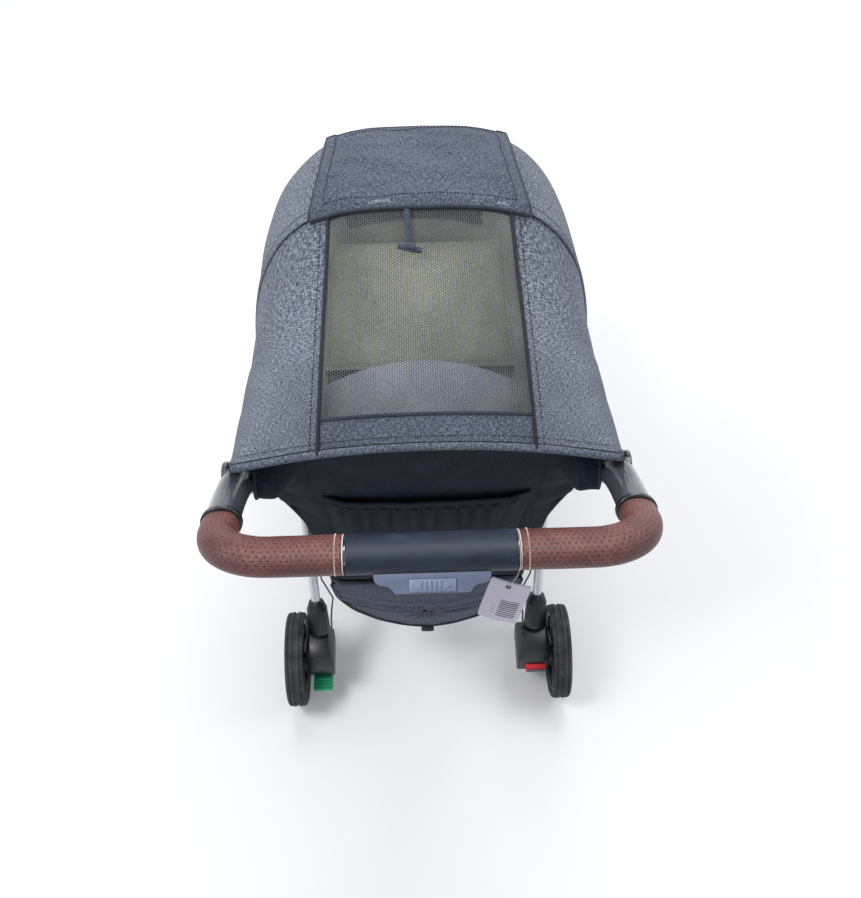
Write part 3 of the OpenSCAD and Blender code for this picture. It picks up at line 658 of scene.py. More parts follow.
# the hem binding takes the same darker copy of the canopy heather, which carries painted shade
hem = tube("canopy_hem", hp, 0.0046, m_strip_shaded, rb=0.0026, up=(0, 0.836, 0.548), k=12)
rear_parts.append(hem)
rear_parts.append(tube("hem_groove", hem_path(126.75, 0.0007), 0.0006, m_thread, rb=0.0006, up=(0, 0.836, 0.548), k=6))
rear_parts.append(stitches("hem_stitch", hem_path(125.6, 0.0012), normal_top, m_thread, rad=0.0004))
# small back seam in the hem
pth = np.array([arch_pt(ph, x=0.004, off=0.0026)[0] for ph in np.linspace(128.2, 126.9, 6)])
rear_parts.append(tube("hem_join", pth, 0.0006, m_thread, k=6))

# mid bow seam: raised channel over the bow
def bow_path(phi, off, rmin, n=160):
    L = side_curve(phi, -1, 70, rmin, off)[::-1]
    R = side_curve(phi, 1, 70, rmin, off)
    T = np.array([arch_pt(phi, x=xx, off=off)[0] for xx in np.linspace(-0.1035, 0.1035, 50)])
    return resample(np.vstack([L, T[1:-1], R]), n)


mid_parts = []
bp = bow_path(88.0, 0.0012, 0.05)
mid_parts.append(tube("mid_bow_channel", bp, 0.0020, m_canopy, rb=0.0062, up=np.array([(p - (PV + np.array([p[0] * 0.5, 0, 0]))) / np.linalg.norm(p - (PV + np.array([p[0] * 0.5, 0, 0]))) for p in bp]), k=12))
for g in (-0.8, 0.8):
    q = bow_path(88.0 + g, 0.0026, 0.06)
    mid_parts.append(stitches("mid_bow_stitch_%d" % (g > 0), q, np.array([(p - PV) for p in q]), m_thread))

# front section
for sign, nm in ((-1, "left"), (1, "right")):
    P = side_panel("s", sign, phis_front, r_min_front, 0.0030, 8.0 + sign, belly=0.0)
    o = thick(grid("canopy_front_side_" + nm, P, m_canopy, flip=sign < 0), 0.0016)
    front_parts.append(o)
    front_parts.append(tube("front_side_bind_" + nm, smooth_path(P[:, -1], 60, 2), 0.0040, m_bind, rb=0.0016, up=(0, 0.2, 1)))
P = top_zone(phis_front, 60, xw=lambda p: 0.1035)
front_parts.append(thick(grid("canopy_front_top", cloth_noise(P, 0.0016, 9, 6), m_canopy), 0.0016))
for sign in (-1, 1):
    path = np.array([arch_pt(ph, x=sign * 0.1035, off=0.0010)[0] for ph in np.linspace(87.5, 38.5, 70)])
    front_parts.append(tube("front_seam_%d" % (sign > 0), path, 0.0014, m_pipe, up=(1, 0, 0), k=8))
fp = bow_path(38.0, 0.0006, 0.08)
front_parts.append(tube("front_edge_bind", fp, 0.0050, m_bind, rb=0.0022, up=(0, -0.79, 0.6), k=12))
front_parts.append(stitches("front_edge_stitch", bow_path(39.6, 0.0014, 0.09), np.array([0, 0.6, 0.8]), m_thread))

rear = join("canopy_rear_cloth", rear_parts)
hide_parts("canopy_rear")
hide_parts("window_mesh")
for o in (rear, net):
    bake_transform(o)
front = join("canopy_front_cloth", front_parts)
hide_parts("canopy_front")
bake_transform(front)
mid = join("mid_bow_cloth_channel", mid_parts)
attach(mid, "mid_bow")

# ------------------------------------------------------------------ window flap
def flap_surface(nu=70, nv=90):
    P = np.zeros((nu, nv, 3))
    for i, u in enumerate(np.linspace(0, 1, nu)):
        ph = 89.3 - 22.0 * u
        w = 0.127 - 0.018 * u
        for j, v in enumerate(np.linspace(-1, 1, nv)):
            x = v * w * (1 - 0.03 * math.sin(pi * u))
            off = 0.0042 + 0.0055 * u
            p, _ = arch_pt(ph, x=x, off=off)
            edge = min(1, (1 - abs(v)) * 7, u * 9 + 0.15, (1 - u) * 9 + 0.15)
            q = np.array([x * 10, u * 1.6, 0])
            wr = 0.0046 * noise.noise(Vector((x * 26 + u * 3, u * 4.6, 1.3))) + 0.0022 * noise.noise(Vector((x * 60 - u * 6, u * 10, 4.0))) + 0.0030 * max(0, noise.noise(Vector((x * 14 + u * 9, u * 7 - x * 20, 7.0))))
            wr += 0.0022 * math.sin(u * 21 + x * 34 + 2.4 * noise.noise(Vector((x * 12, u * 3, 0)))) * 0.5
            c = math.radians(ph)
            nrm = np.array([0, math.cos(c), math.sin(c)])
            P[i, j] = p + nrm * (max(-0.002, wr * edge) + 0.002 * (1 - edge) * (abs(v) > 0.9))
    return P


P = flap_surface()
fl = thick(grid("window_flap_cloth", P, m_flap), 0.0024)
parts = [fl]
hem_loop = np.vstack([P[0, :], P[:, -1][1:], P[-1, ::-1][1:], P[::-1, 0][1:-1]])
nl = np.array([0, 0.2, 1.0])
parts.append(tube("flap_edge", resample(hem_loop, 300, closed=True), 0.0022, m_bind, rb=0.0022, k=8, closed=True))
inner = np.vstack([P[5, 5:-5], P[5:-5, -6][1:], P[-6, 5:-5][::-1][1:], P[5:-5, 5][::-1][1:-1]]) + np.array([0, 0.0003, 0.0016])
parts.append(stitches("flap_stitch", inner, nl, m_thread))
flap = join("window_flap_cloth", parts)
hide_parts("window_flap")
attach(flap, "window_flap")

# T-toggle and its strap
sp = smooth_path([(-0.015, -0.062, 1.0935), (-0.0145, -0.075, 1.0870), (-0.0135, -0.090, 1.0765), (-0.0125, -0.104, 1.0672), (-0.0120, -0.112, 1.0628)], 30, 3)
twist = np.array([[0.9 * math.sin(t) * 0.5, 0, 0] for t in np.linspace(0, 1.2, 30)])
strap = tube("toggle_strap_web", sp, 0.0011, m_web, rb=0.0034, up=np.array([0, -0.45, 0.9]) + twist, k=12)
bar = tube("toggle_bar_cloth", smooth_path([(-0.0262, -0.1085, 1.0675), (-0.018, -0.1105, 1.0668), (-0.010, -0.1125, 1.0655), (0.0005, -0.1130, 1.0640)], 24, 2), 0.0026, m_web, rb=0.0036, up=(0, -0.45, 0.9), k=12)
loop = tube("toggle_wrap", smooth_path([(-0.0165, -0.110, 1.0705), (-0.012, -0.1115, 1.0712), (-0.0075, -0.113, 1.0700)], 10, 1), 0.0012, m_web, rb=0.0036, up=(0, -0.45, 0.9), k=10)
strap = join("toggle_strap_web", [strap, loop])
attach(strap, "mid_bow")
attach(bar, "mid_bow")
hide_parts("toggle_strap")
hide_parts("toggle_bar")

# ------------------------------------------------------------------ rear panel and pocket
tilt = math.atan2(0.060, 0.438)


def wall(x, h, out):
    """x across, h up the slanted rear wall, out away from the cabin."""
    return np.array([x, -0.198 - h * math.sin(tilt) - out * math.cos(tilt), 0.412 + h * math.cos(tilt) - out * math.sin(tilt)])


def hw(h):
    return float(np.interp(h, [0, 0.15, 0.24, 0.29, 0.34, 0.40, 0.45, 0.52], [0.147, 0.151, 0.164, 0.184, 0.198, 0.202, 0.202, 0.200]))


def joint_bulge(x, h):
    """The cloth billows to the rear where it passes the handle joints."""
    return 0.050 * float(smoothstep(0.150, 0.180, abs(x))) * math.exp(-((h - 0.468) / 0.042) ** 2)


P = np.zeros((90, 80, 3))
for i, h in enumerate(np.linspace(0.0, 0.518, 90)):
    for j, v in enumerate(np.linspace(-1, 1, 80)):
        x = hw(h) * v
        out = 0.0035 + 0.013 * (1 - v * v) * math.sin(pi * min(1, h / 0.56)) - 0.013 * abs(v) ** 7 * float(smoothstep(0.2, 0.3, h)) * (1 - float(smoothstep(0.36, 0.42, h))) + joint_bulge(x, h)
        out += 0.0030 * fn((x, h, 0), 11, 2) + 0.0016 * fn((x * 1.5, h, 0), 30, 3)
        if 0.27 < h < 0.44:
            out += 0.003 * math.sin(h * 95 + abs(v) * 3) * float(smoothstep(0.72, 0.95, abs(v)))
        P[i, j] = wall(x, h, out)
# the panel's very dark fabric colour is partly painted shade
panel = thick(grid("rear_panel_cloth", P, m_panel_shaded), 0.0018)
pp = [panel]
for sg in (-1, 1):
    path = np.array([wall(sg * hw(h), h, 0.0035 - 0.013 * float(smoothstep(0.2, 0.3, h)) * (1 - float(smoothstep(0.36, 0.42, h))) + joint_bulge(hw(h), h)) for h in np.linspace(0.0, 0.518, 120)])
    pp.append(tube("rear_panel_pipe_%d" % (sg > 0), smooth_path(path, 120, 2), 0.0022, m_pipe, up=(0, -1, 0.1), k=8))
    q = np.array([wall(sg * hw(h) * 0.72, h, 0.0062 + 0.013 * (1 - 0.72 ** 2) * math.sin(pi * h / 0.56)) for h in np.linspace(0.03, 0.50, 120)])
    pp.append(stitches("rear_panel_stitch_%d" % (sg > 0), q, (0, -1, 0.1), m_thread))
panel = join("rear_panel_cloth", pp)
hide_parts("rear_panel")
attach(panel, "chassis")

P = np.zeros((70, 150, 3))
for i, t in enumerate(np.linspace(0, 1, 70)):
    h = 0.190 + 0.170 * t
    for j, v in enumerate(np.linspace(-1, 1, 150)):
        w = 0.120 + 0.012 * t
        x = w * v
        base = 0.0055 + 0.013 * (1 - (x / 0.2) ** 2) * math.sin(pi * h / 0.56)
        fade = min(1, (1 - abs(v)) * 5)
        puff = (0.003 + 0.009 * math.sin(pi * min(1, t * 0.62 + 0.2))) * fade
        gather = 0.0030 * math.sin(x * 300 + 2.2 * fn((x, 0, 0), 40, 1)) * float(smoothstep(0.25, 0.9, t)) * (1 - float(smoothstep(0.93, 0.96, t))) * fade
        P[i, j] = wall(x, h, base + puff + gather + 0.0018 * fn((x, h, 1), 22, 6))
# the pocket takes the same dark panel fabric, partly painted shade
pk = thick(grid("rear_pocket_cloth", P, m_panel_shaded), 0.0018)
pk2 = tube("rear_pocket_hem", smooth_path(P[-1], 120, 1), 0.0042, m_panel_shaded, rb=0.0014, up=(0, 0.14, 1), k=12)
pk3 = stitches("rear_pocket_stitch", P[-5] + np.array([0, -0.0016, 0]), (0, -1, 0), m_thread)
pocket = join("rear_pocket_cloth", [pk, pk2, pk3])
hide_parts("rear_pocket")
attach(pocket, "chassis")

# ------------------------------------------------------------------ cabin tub
def rim_z(y):
    return float(np.interp(y, [-0.30, -0.258, -0.18, 0.06, 0.494, 0.51], [0.850, 0.848, 0.800, 0.640, 0.560, 0.557]))


def rear_y(z):
    return -0.198 - (z - 0.412) * 0.137


def tub(name, inset, mat, lip=0.0):
    """A loop round the cabin at each level, from the floor to the slanting rim."""
    nu, nv = 40, 220
    W, yf = 0.170 - inset, 0.4955 - inset
    P = np.zeros((nu, nv, 3))
    for i, t in enumerate(np.linspace(0, 1, nu)):
        for j in range(nv):
            a = 2 * pi * j / nv
            # rounded rectangle direction
            c, s_ = math.cos(a), math.sin(a)
            q = 9.0
            k = (abs(c) ** q + abs(s_) ** q) ** (-1 / q)
            ux, uy = k * c, k * s_
            yr = uy
            y0, y1 = -0.198 + inset, yf
            ytop = (y0 + y1) / 2 + yr * (y1 - y0) / 2
            zt = rim_z(ytop if uy > -0.95 else -0.258)
            z = 0.414 + inset * 0.8 + (zt + lip - 0.414 - inset * 0.8) * t
            y0 = rear_y(z) + inset
            y1 = yf - 0.018 * (1 - t) ** 2
            y = (y0 + y1) / 2 + yr * (y1 - y0) / 2
            zt = rim_z(y if uy > -0.97 else -0.258)
            z = 0.414 + inset * 0.8 + (zt + lip - 0.414 - inset * 0.8) * t
            edge = min(1, t * 6, (1 - t) * 6)
            bow = 0.0035 * math.sin(pi * t) * (1 if inset < 0.002 else 0.4)
            x = ux * (W - 0.001 + bow * 0)
            p = np.array([x, y, z])
            nn = np.array([c, s_, 0])
            p += nn * edge * (0.0016 * fn(p, 13, 2 + inset * 100) + 0.0008 * fn(p, 34, 5)) * (1 if inset > 0.002 else 1) - nn * 0.0012
            P[i, j] = p
    return P


P = tub("shell", 0.0, m_shell)
outer = grid("cabin_shell_cloth", P, m_shell, close_v=True, flip=True)
thick(outer, 0.0014)
Pi = tub("lining", 0.0075, m_lining)
lining = grid("cabin_lining", Pi, m_lining, close_v=True)
thick(lining, 0.0012)
# dark band of shell cloth inside the front rim, over the lining: painted shade for the shadow under the canopy's front
shade_band_pts = np.zeros((60, 24, 3))
for i, x in enumerate(np.linspace(-0.158, 0.158, 60)):
    for j, t in enumerate(np.linspace(0, 1, 24)):
        zb = 0.447 + 0.036 * (1 - (x / 0.158) ** 2)
        z = zb + (0.5555 - zb) * t
        shade_band_pts[i, j] = (x, float(np.interp(z, [0.43, 0.46, 0.5, 0.56], [0.470, 0.476, 0.481, 0.4835])) - 0.006 * (abs(x) / 0.158) ** 8, z)
band = thick(grid("cabin_rim_shade_band", shade_band_pts, m_shell), 0.0010)
rim_path = (P[-1] + Pi[-1]) / 2
rim = tube("cabin_rim_piping", rim_path, 0.0052, m_bind, rb=0.0062, k=12, closed=True)
# floor of the tub
fl_v, fl_f = [], []
loop = P[0]
cen = loop.mean(0)
for k in range(12):
    s_ = 1 - k / 12
    for p in loop:
        fl_v.append(cen + (p - cen) * s_ + np.array([0, 0, 0.0]))
fl_v.append(cen)
nv = len(loop)
for k in range(11):
    for j in range(nv):
        fl_f.append((k * nv + j, k * nv + (j + 1) % nv, (k + 1) * nv + (j + 1) % nv, (k + 1) * nv + j))
for j in range(nv):
    fl_f.append((11 * nv + j, 11 * nv + (j + 1) % nv, 12 * nv))
uvs = [(v[0], v[1]) for v in fl_v]
bottom = thick(mesh_obj("cabin_floor_cloth", fl_v, fl_f, m_shell, uvs), 0.0014)
low = tube("cabin_floor_piping", P[0] + np.array([0, 0, 0.001]), 0.0024, m_pipe, k=8, closed=True)
seams = []
for sx in (-1, 1):
    for jf in (27, -27):
        pass
shell = join("cabin_shell_cloth", [outer, lining, band, rim, bottom, low])
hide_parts("cabin_shell")
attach(shell, "chassis")

# ------------------------------------------------------------------ cushions
def cushion(name, x0, x1, y0, y1, ztop, zbot, mat, front_arch=0.0, nx=70, ny=60, crown=0.008, channels=()):
    """A crowned pad between two faces, with pinched edges and sewn channels."""
    top, bot = np.zeros((nx, ny, 3)), np.zeros((nx, ny, 3))
    for i, u in enumerate(np.linspace(-1, 1, nx)):
        for j, v in enumerate(np.linspace(-1, 1, ny)):
            ex = 1 - abs(u) ** 6
            ey = 1 - abs(v) ** 6
            e = max(0, ex * ey) ** 0.42
            yy = y0 + (y1 - y0) * (v + 1) / 2
            pull = 1 - 0.012 * (1 - abs(v)) * 1.0
            x = (x0 + x1) / 2 + (x1 - x0) / 2 * u * (1 - 0.015 * (1 - v * v))
            y = (y0 + y1) / 2 + (y1 - y0) / 2 * v * (1 - 0.015 * (1 - u * u)) - (front_arch * u * u if v > 0 else 0) * max(0, v)
            zt, zb = ztop(yy), zbot(yy)
            midz = (zt + zb) / 2
            ch = 0.0
            for c in channels:
                ch -= 0.006 * math.exp(-((yy - c) / 0.005) ** 2)
            z = midz + (zt - midz) * e + (crown * ex * ey + ch * ex * ey) + 0.0012 * fn((x, y, 0), 25, 3) * ex * ey
            top[i, j] = (x, y, z)
            bot[i, j] = (x, y, midz + (zb - midz) * e)
    V = np.concatenate([top.reshape(-1, 3), bot.reshape(-1, 3)])
    F = []
    N = nx * ny
    for i in range(nx - 1):
        for j in range(ny - 1):
            a = i * ny + j
            F.append((a, a + ny, a + ny + 1, a + 1))
            F.append((N + a, N + a + 1, N + a + ny + 1, N + a + ny))
    ring = [i * ny for i in range(nx)] + [(nx - 1) * ny + j for j in range(1, ny)] + [i * ny + ny - 1 for i in range(nx - 2, -1, -1)] + [j for j in range(ny - 2, 0, -1)]
    for a, b in zip(ring, ring[1:] + ring[:1]):
        F.append((a, N + a, N + b, b))
    o = mesh_obj(name, V, F, mat)
    bm = bmesh.new()
    bm.from_mesh(o.data)
    bmesh.ops.recalc_face_normals(bm, faces=bm.faces)
    bm.to_mesh(o.data)
    bm.free()
    pipe = np.array([(V[a] + V[N + a]) / 2 for a in ring])
    return o, pipe


pad, ring = cushion("cabin_pad_cloth", -0.160, 0.160, 0.180, 0.462, lambda y: 0.447, lambda y: 0.425, m_pad, channels=(), crown=0.006)
ppipe = tube("cabin_pad_piping", ring, 0.0018, m_pad, k=8, closed=True)
pad = join("cabin_pad_cloth", [pad, ppipe])
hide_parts("cabin_pad")
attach(pad, "chassis")


def wedge_top(y):
    return float(np.interp(y, [-0.213, -0.19, 0.19], [0.592, 0.596, 0.464]))


bol, ring = cushion("rear_cushion_cloth", -0.158, 0.158, -0.198, 0.190, wedge_top, lambda y: 0.426, m_bolster, front_arch=0.050, crown=0.003)
bpipe = tube("rear_cushion_piping", ring, 0.0018, m_bolster, k=8, closed=True)
bol = join("rear_cushion_cloth", [bol, bpipe])
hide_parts("rear_cushion")
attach(bol, "chassis")

# ------------------------------------------------------------------ basket
def bu(a):
    """Half of the U profile, a from 0 at the middle to 1 at the top edge: returns x, z."""
    xs = [0, 0.040, 0.084, 0.122, 0.147, 0.153]
    zs = [0.172, 0.182, 0.209, 0.250, 0.300, 0.346]
    s = np.concatenate([[0], np.cumsum(np.hypot(np.diff(xs), np.diff(zs)))])
    s /= s[-1]
    return float(np.interp(a, s, xs)), float(np.interp(a, s, zs))


nv = 110
prof = np.array([(math.copysign(1, a) * bu(abs(a))[0], bu(abs(a))[1]) for a in np.linspace(-1, 1, nv)])
for _ in range(10):
    prof[1:-1] = 0.25 * prof[:-2] + 0.5 * prof[1:-1] + 0.25 * prof[2:]
P = np.zeros((80, nv, 3))
for i, t in enumerate(np.linspace(0, 1, 80)):
    y = -0.178 + 0.438 * t
    sag = -0.003 * math.sin(pi * t)
    for j in range(nv):
        x, z = prof[j]
        dep = (0.346 - z) / 0.174
        p = np.array([x, y, z + sag * dep])
        p[2] += 0.0028 * fn(p, 14, 3) * dep * min(1, t * 8, (1 - t) * 8)
        p[0] += 0.0020 * fn(p, 17, 9) * min(1, t * 8, (1 - t) * 8) * (1 if abs(x) > 0.05 else 0)
        P[i, j] = p
bparts = [thick(grid("basket_body", P, m_basket), 0.0016)]
for end, yy, sg in (("rear", -0.178, -1), ("front", 0.260, 1)):
    Q = np.zeros((60, nv, 3))
    for i, t in enumerate(np.linspace(0, 1, 60)):
        for j in range(nv):
            x, z = prof[j]
            zz = z + (0.346 - z) * t
            xx = x
            bul = 0.010 * math.sin(pi * t) * (1 - (x / 0.155) ** 2)
            w = 0.0022 * fn((xx, zz, 0), 20, 4) * math.sin(pi * t)
            if sg < 0:
                hump = 0.263 + 0.022 * (xx / 0.11) ** 2 + 0.004 * fn((xx, 0, 1), 15, 3)
                d = zz - hump
                w += 0.0044 * math.exp(-(d / 0.007) ** 2) - 0.0050 * math.exp(-((d + 0.011) / 0.006) ** 2) + 0.0020 * math.exp(-((d - 0.020) / 0.006) ** 2)
                r_ = math.hypot(xx, zz - 0.240) + 1e-5
                ang = math.atan2(zz - 0.240, xx)
                w += 0.0026 * math.sin(ang * 9 + 1.2) * math.exp(-r_ / 0.050) * min(1, r_ / 0.012)
                near = math.exp(-(r_ / 0.016) ** 2)
                bul, w = bul * (1 - near), w * (1 - near)
            Q[i, j] = (xx, yy + sg * (bul + w), zz)
    bparts.append(thick(grid("basket_end_" + end, Q, m_basket, flip=sg > 0), 0.0016))
    edge = np.array([(x, yy + sg * 0.0008, z) for x, z in prof])
    bparts.append(tube("basket_pipe_" + end, edge, 0.0030, m_bind, rb=0.0024, up=(0, 1, 0), k=10))
    e2 = np.array([(x * 0.965, yy + sg * 0.0042, z + 0.0085) for x, z in prof[6:-6]])
    bparts.append(stitches("basket_stitch_" + end, e2, (0, sg, 0), m_thread))
bparts.append(tube("basket_pull_tab", [(0, -0.1815, 0.1745), (0.0002, -0.1870, 0.1690), (0, -0.1860, 0.1665)], 0.0012, m_black2, rb=0.0110, up=(0, 1, 0), k=14))
basket = join("basket_cloth", bparts)
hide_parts("basket")
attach(basket, "chassis")
# press stud on the rear of the basket
prof_s = [(0.0, 0.0), (0.0068, 0.0), (0.0070, 0.0026), (0.0062, 0.0042), (0.0046, 0.0046), (0.0036, 0.0036), (0.0030, 0.0030), (0.0, 0.0030)]
V, F = [], []
for a in np.linspace(0, 2 * pi, 32, endpoint=False):
    for r_, d in prof_s:
        V.append((r_ * math.cos(a), -0.1808 - d, 0.238 + r_ * math.sin(a)))
kk = len(prof_s)
for i in range(32):
    for j in range(kk - 1):
        F.append((i * kk + j, ((i + 1) % 32) * kk + j, ((i + 1) % 32) * kk + j + 1, i * kk + j + 1))
o = mesh_obj("basket_press_stud", V, F, m_black2)
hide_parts("basket_snap")
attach(o, "chassis")
# rim binding over the top edge
rect = []
X, Y0, Y1, rr = 0.1515, -0.1785, 0.2605, 0.018
for cx, cy, a0 in ((X - rr, Y1 - rr, 0), (-X + rr, Y1 - rr, 90), (-X + rr, Y0 + rr, 180), (X - rr, Y0 + rr, 270)):
    for a in np.linspace(a0, a0 + 90, 8):
        rect.append((cx + rr * math.cos(math.radians(a)), cy + rr * math.sin(math.radians(a)), 0.3475))
brim = tube("basket_rim_binding", resample(rect, 220, closed=True), 0.0052, m_bind, rb=0.0030, k=12, closed=True)
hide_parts("basket_rim")
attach(brim, "chassis")
# hanging straps
sparts = []
for sx in (-1, 1):
    for y in (-0.139, 0.141, 0.239):
        pth = smooth_path([(sx * 0.1535, y, 0.334), (sx * 0.1535, y, 0.350), (sx * 0.1520, y + 0.001, 0.375), (sx * 0.1505, y, 0.400), (sx * 0.1500, y, 0.4125)], 24, 2)
        sparts.append(tube("basket_strap", pth, 0.0095, m_web, rb=0.0010, up=(0, 1, 0), k=12))
        sparts.append(stitches("basket_strap_stitch", [(sx * 0.1548, y - 0.007, 0.342), (sx * 0.1548, y + 0.007, 0.342)], (sx, 0, 0), m_thread))
straps = join("basket_straps_web", sparts)
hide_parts("basket_straps")
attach(straps, "chassis")


# ------------------------------------------------------------------ handle
HS = math.atan2(0.128, 0.172)
L_ARM = math.hypot(0.128, 0.172)
ey = np.array([0, -math.cos(HS), math.sin(HS)])   # from the joints to the grip
ez = np.array([0, -math.sin(HS), -math.cos(HS)])  # away from the palm side
H0 = np.array([0, -0.288, 0.872])


def hpnt(x, s, n=0.0):
    return np.array([x, 0, 0]) + H0 + ey * s + ez * n


def handle_line():
    pts = []
    for s in np.linspace(0.130, L_ARM - 0.060, 8):
        pts.append((0.225, s))
    for a in np.linspace(0, 90, 26)[1:]:
        pts.append((0.165 + 0.060 * math.cos(math.radians(a)), L_ARM - 0.060 + 0.060 * math.sin(math.radians(a))))
    for x in np.linspace(0.165, 0.0, 30)[1:]:
        pts.append((x, L_ARM))
    return np.array(pts)


HL = resample(handle_line(), 150)
HLs = np.concatenate([[0], np.cumsum(np.linalg.norm(np.diff(HL, axis=0), axis=1))])
s_centre = HLs[np.argmin(abs(HL[:, 0] - 0.0872))]


def grip_tube(name, s0, s1, mat, sign, n=120, k=40, puff=0.0, flare=True):
    S = np.linspace(s0, s1, n)
    P = np.zeros((n, k, 3))
    uv = np.zeros((n, k, 2))
    for i, s_ in enumerate(S):
        x = np.interp(s_, HLs, HL[:, 0])
        y = np.interp(s_, HLs, HL[:, 1])
        xb, yb = np.interp(s_ + 0.001, HLs, HL[:, 0]), np.interp(s_ + 0.001, HLs, HL[:, 1])
        xa, ya = np.interp(s_ - 0.001, HLs, HL[:, 0]), np.interp(s_ - 0.001, HLs, HL[:, 1])
        t = np.array([xb - xa, yb - ya])
        t /= np.linalg.norm(t) + 1e-12
        nrm2 = np.array([-t[1], t[0]]) * -1          # outward in the handle plane
        u = np.clip(s_ / 0.16, 0, 1)
        a = 0.0205 + (0.0262 - 0.0205) * float(smoothstep(0.0, 0.14, s_))
        b = 0.0165 + (0.0185 - 0.0165) * float(smoothstep(0.0, 0.10, s_))
        e = min(1, (s_ - s0) / 0.004, (s1 - s_) / 0.003) if flare else 1
        e = 1 - 0.10 * (1 - math.sqrt(max(0, min(1, e))))
        for j in range(k):
            an = 2 * pi * j / k
            ca, sa = math.cos(an), math.sin(an)
            rr_ = (abs(ca) ** 2.3 + abs(sa) ** 2.3) ** (-1 / 2.3)
            q2 = nrm2 * (a * rr_ * ca * e)
            q3 = b * rr_ * sa * e
            w = 1 + puff * 0.01 * noise.noise(Vector((s_ * 30, ca * 2, sa * 2)))
            P[i, j] = hpnt(sign * (x + q2[0] * w), y + q2[1] * w, q3 * w)
            uv[i, j] = (s_, an * 0.0215)
    # close the UV seam on the underside by starting the ring there
    F = [(i * k + j, (i + 1) * k + j, (i + 1) * k + (j + 1) % k, i * k + (j + 1) % k) for i in range(n - 1) for j in range(k)]
    F.append(tuple(range(k)))
    F.append(tuple((n - 1) * k + j for j in reversed(range(k))))
    me = bpy.data.meshes.new(name)
    me.from_pydata([tuple(p) for p in P.reshape(-1, 3)], [], F)
    o = bpy.data.objects.new(name, me)
    bpy.context.collection.objects.link(o)
    me.materials.append(mat)
    lay = me.uv_layers.new(name="UVMap")
    flat = uv.reshape(-1, 2)
    for poly in me.polygons:
        js = [me.loops[l].vertex_index % k for l in poly.loop_indices]
        wrap = max(js) - min(js) > k / 2 and poly.loop_total == 4
        for l in poly.loop_indices:
            vi = me.loops[l].vertex_index
            c = flat[vi].copy()
            if wrap and vi % k < k / 2:
                c[1] += 2 * pi * 0.0215
            lay.data[l].uv = c
        poly.use_smooth = poly.loop_total == 4
    bm = bmesh.new()
    bm.from_mesh(me)
    bmesh.ops.recalc_face_normals(bm, faces=bm.faces)
    bm.to_mesh(me)
    bm.free()
    return o, P


for sign, nm in ((-1, "left"), (1, "right")):
    o, P = grip_tube("leather_sleeve_%s_cover" % nm, 0.0003, s_centre - 0.0018, m_leather, sign, puff=1.0)
    extra = []
    # cream whip stitches at the inner end, across the joint
    st = []
    k = P.shape[1]
    ringp = P[-7]
    axis = np.array([-sign * 1.0, 0, 0])
    for j in range(0, k):
        for h_ in (0.0, 0.5):
            pa = ringp[j] * (1 - h_) + ringp[(j + 1) % k] * h_
            c0 = hpnt(pa[0], L_ARM, 0)
            nn = pa - np.array([pa[0], c0[1], c0[2]])
            nn /= np.linalg.norm(nn)
            tt = np.cross(nn, axis)
            st.append((pa + axis * 0.0006 + nn * 0.0003, pa + axis * 0.0026 + tt * 0.0011 + nn * 0.0003, nn))
    for a_, b_, nn in st:
        ln = float(np.linalg.norm(b_ - a_))
        e = stitches("s", np.array([a_, b_]), nn, m_cream, pitch=ln * 0.5, length=ln * 0.7, rad=0.00034, lift=0.0002)
        extra.append(e)
    o = join("leather_sleeve_%s_cover" % nm, [o] + extra)
    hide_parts("leather_sleeve_" + nm)
    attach(o, "handle")
    # light piping ring at the joint
    rp = np.array([p for p in P[-2]])
    c0 = rp.mean(0)
    rp = c0 + (rp - c0) * 1.0 + np.array([-sign * 0.0014, 0, 0])
    pipe = tube("grip_piping_" + nm, resample(rp, 60, closed=True), 0.0007, m_lightpipe, k=8, up=(1, 0, 0), closed=True)
    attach(pipe, "handle")

hw_c = s_centre
o, P = grip_tube("cg", s_centre + 0.0008, HLs[-1] + 0.0, m_navy, 1, n=40, flare=False)
# mirror the half grip into one full grip
bpy.data.objects.remove(o, do_unlink=True)
full = np.concatenate([P, (P[::-1] * np.array([-1, 1, 1]))[1:]])
cg = grid("centre_grip_cover", full, m_navy, close_v=True, caps=True)
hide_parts("centre_grip")
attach(cg, "handle")


# ------------------------------------------------------------------ bevelled copies of the moulded parts
def bevel_copy(node, body, mat, width=0.0008, seg=2, slot=None, angle=32):
    src = frame["nodes"][node]
    me = src.data.copy()
    o = bpy.data.objects.new(node + "_moulded", me)
    o.matrix_world = src.matrix_world.copy()
    bpy.context.collection.objects.link(o)
    bm = bmesh.new()
    bm.from_mesh(me)
    bmesh.ops.remove_doubles(bm, verts=bm.verts, dist=1e-5)
    bmesh.ops.dissolve_limit(bm, angle_limit=math.radians(1.0), verts=bm.verts, edges=bm.edges)
    bm.to_mesh(me)
    bm.free()
    me.materials.clear()
    me.materials.append(mat)
    apply(o, ("BEVEL", {"width": width, "segments": seg, "limit_method": "ANGLE", "angle_limit": math.radians(angle), "use_clamp_overlap": True, "harden_normals": False}))
    for p in o.data.polygons:
        p.use_smooth = True
    for at in ("sharp_face",):
        pass
    try:
        o.data.set_sharp_from_angle(angle=math.radians(40))
    except Exception:
        pass
    o if slot else None
    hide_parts(node)
    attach(o, body)
    return o


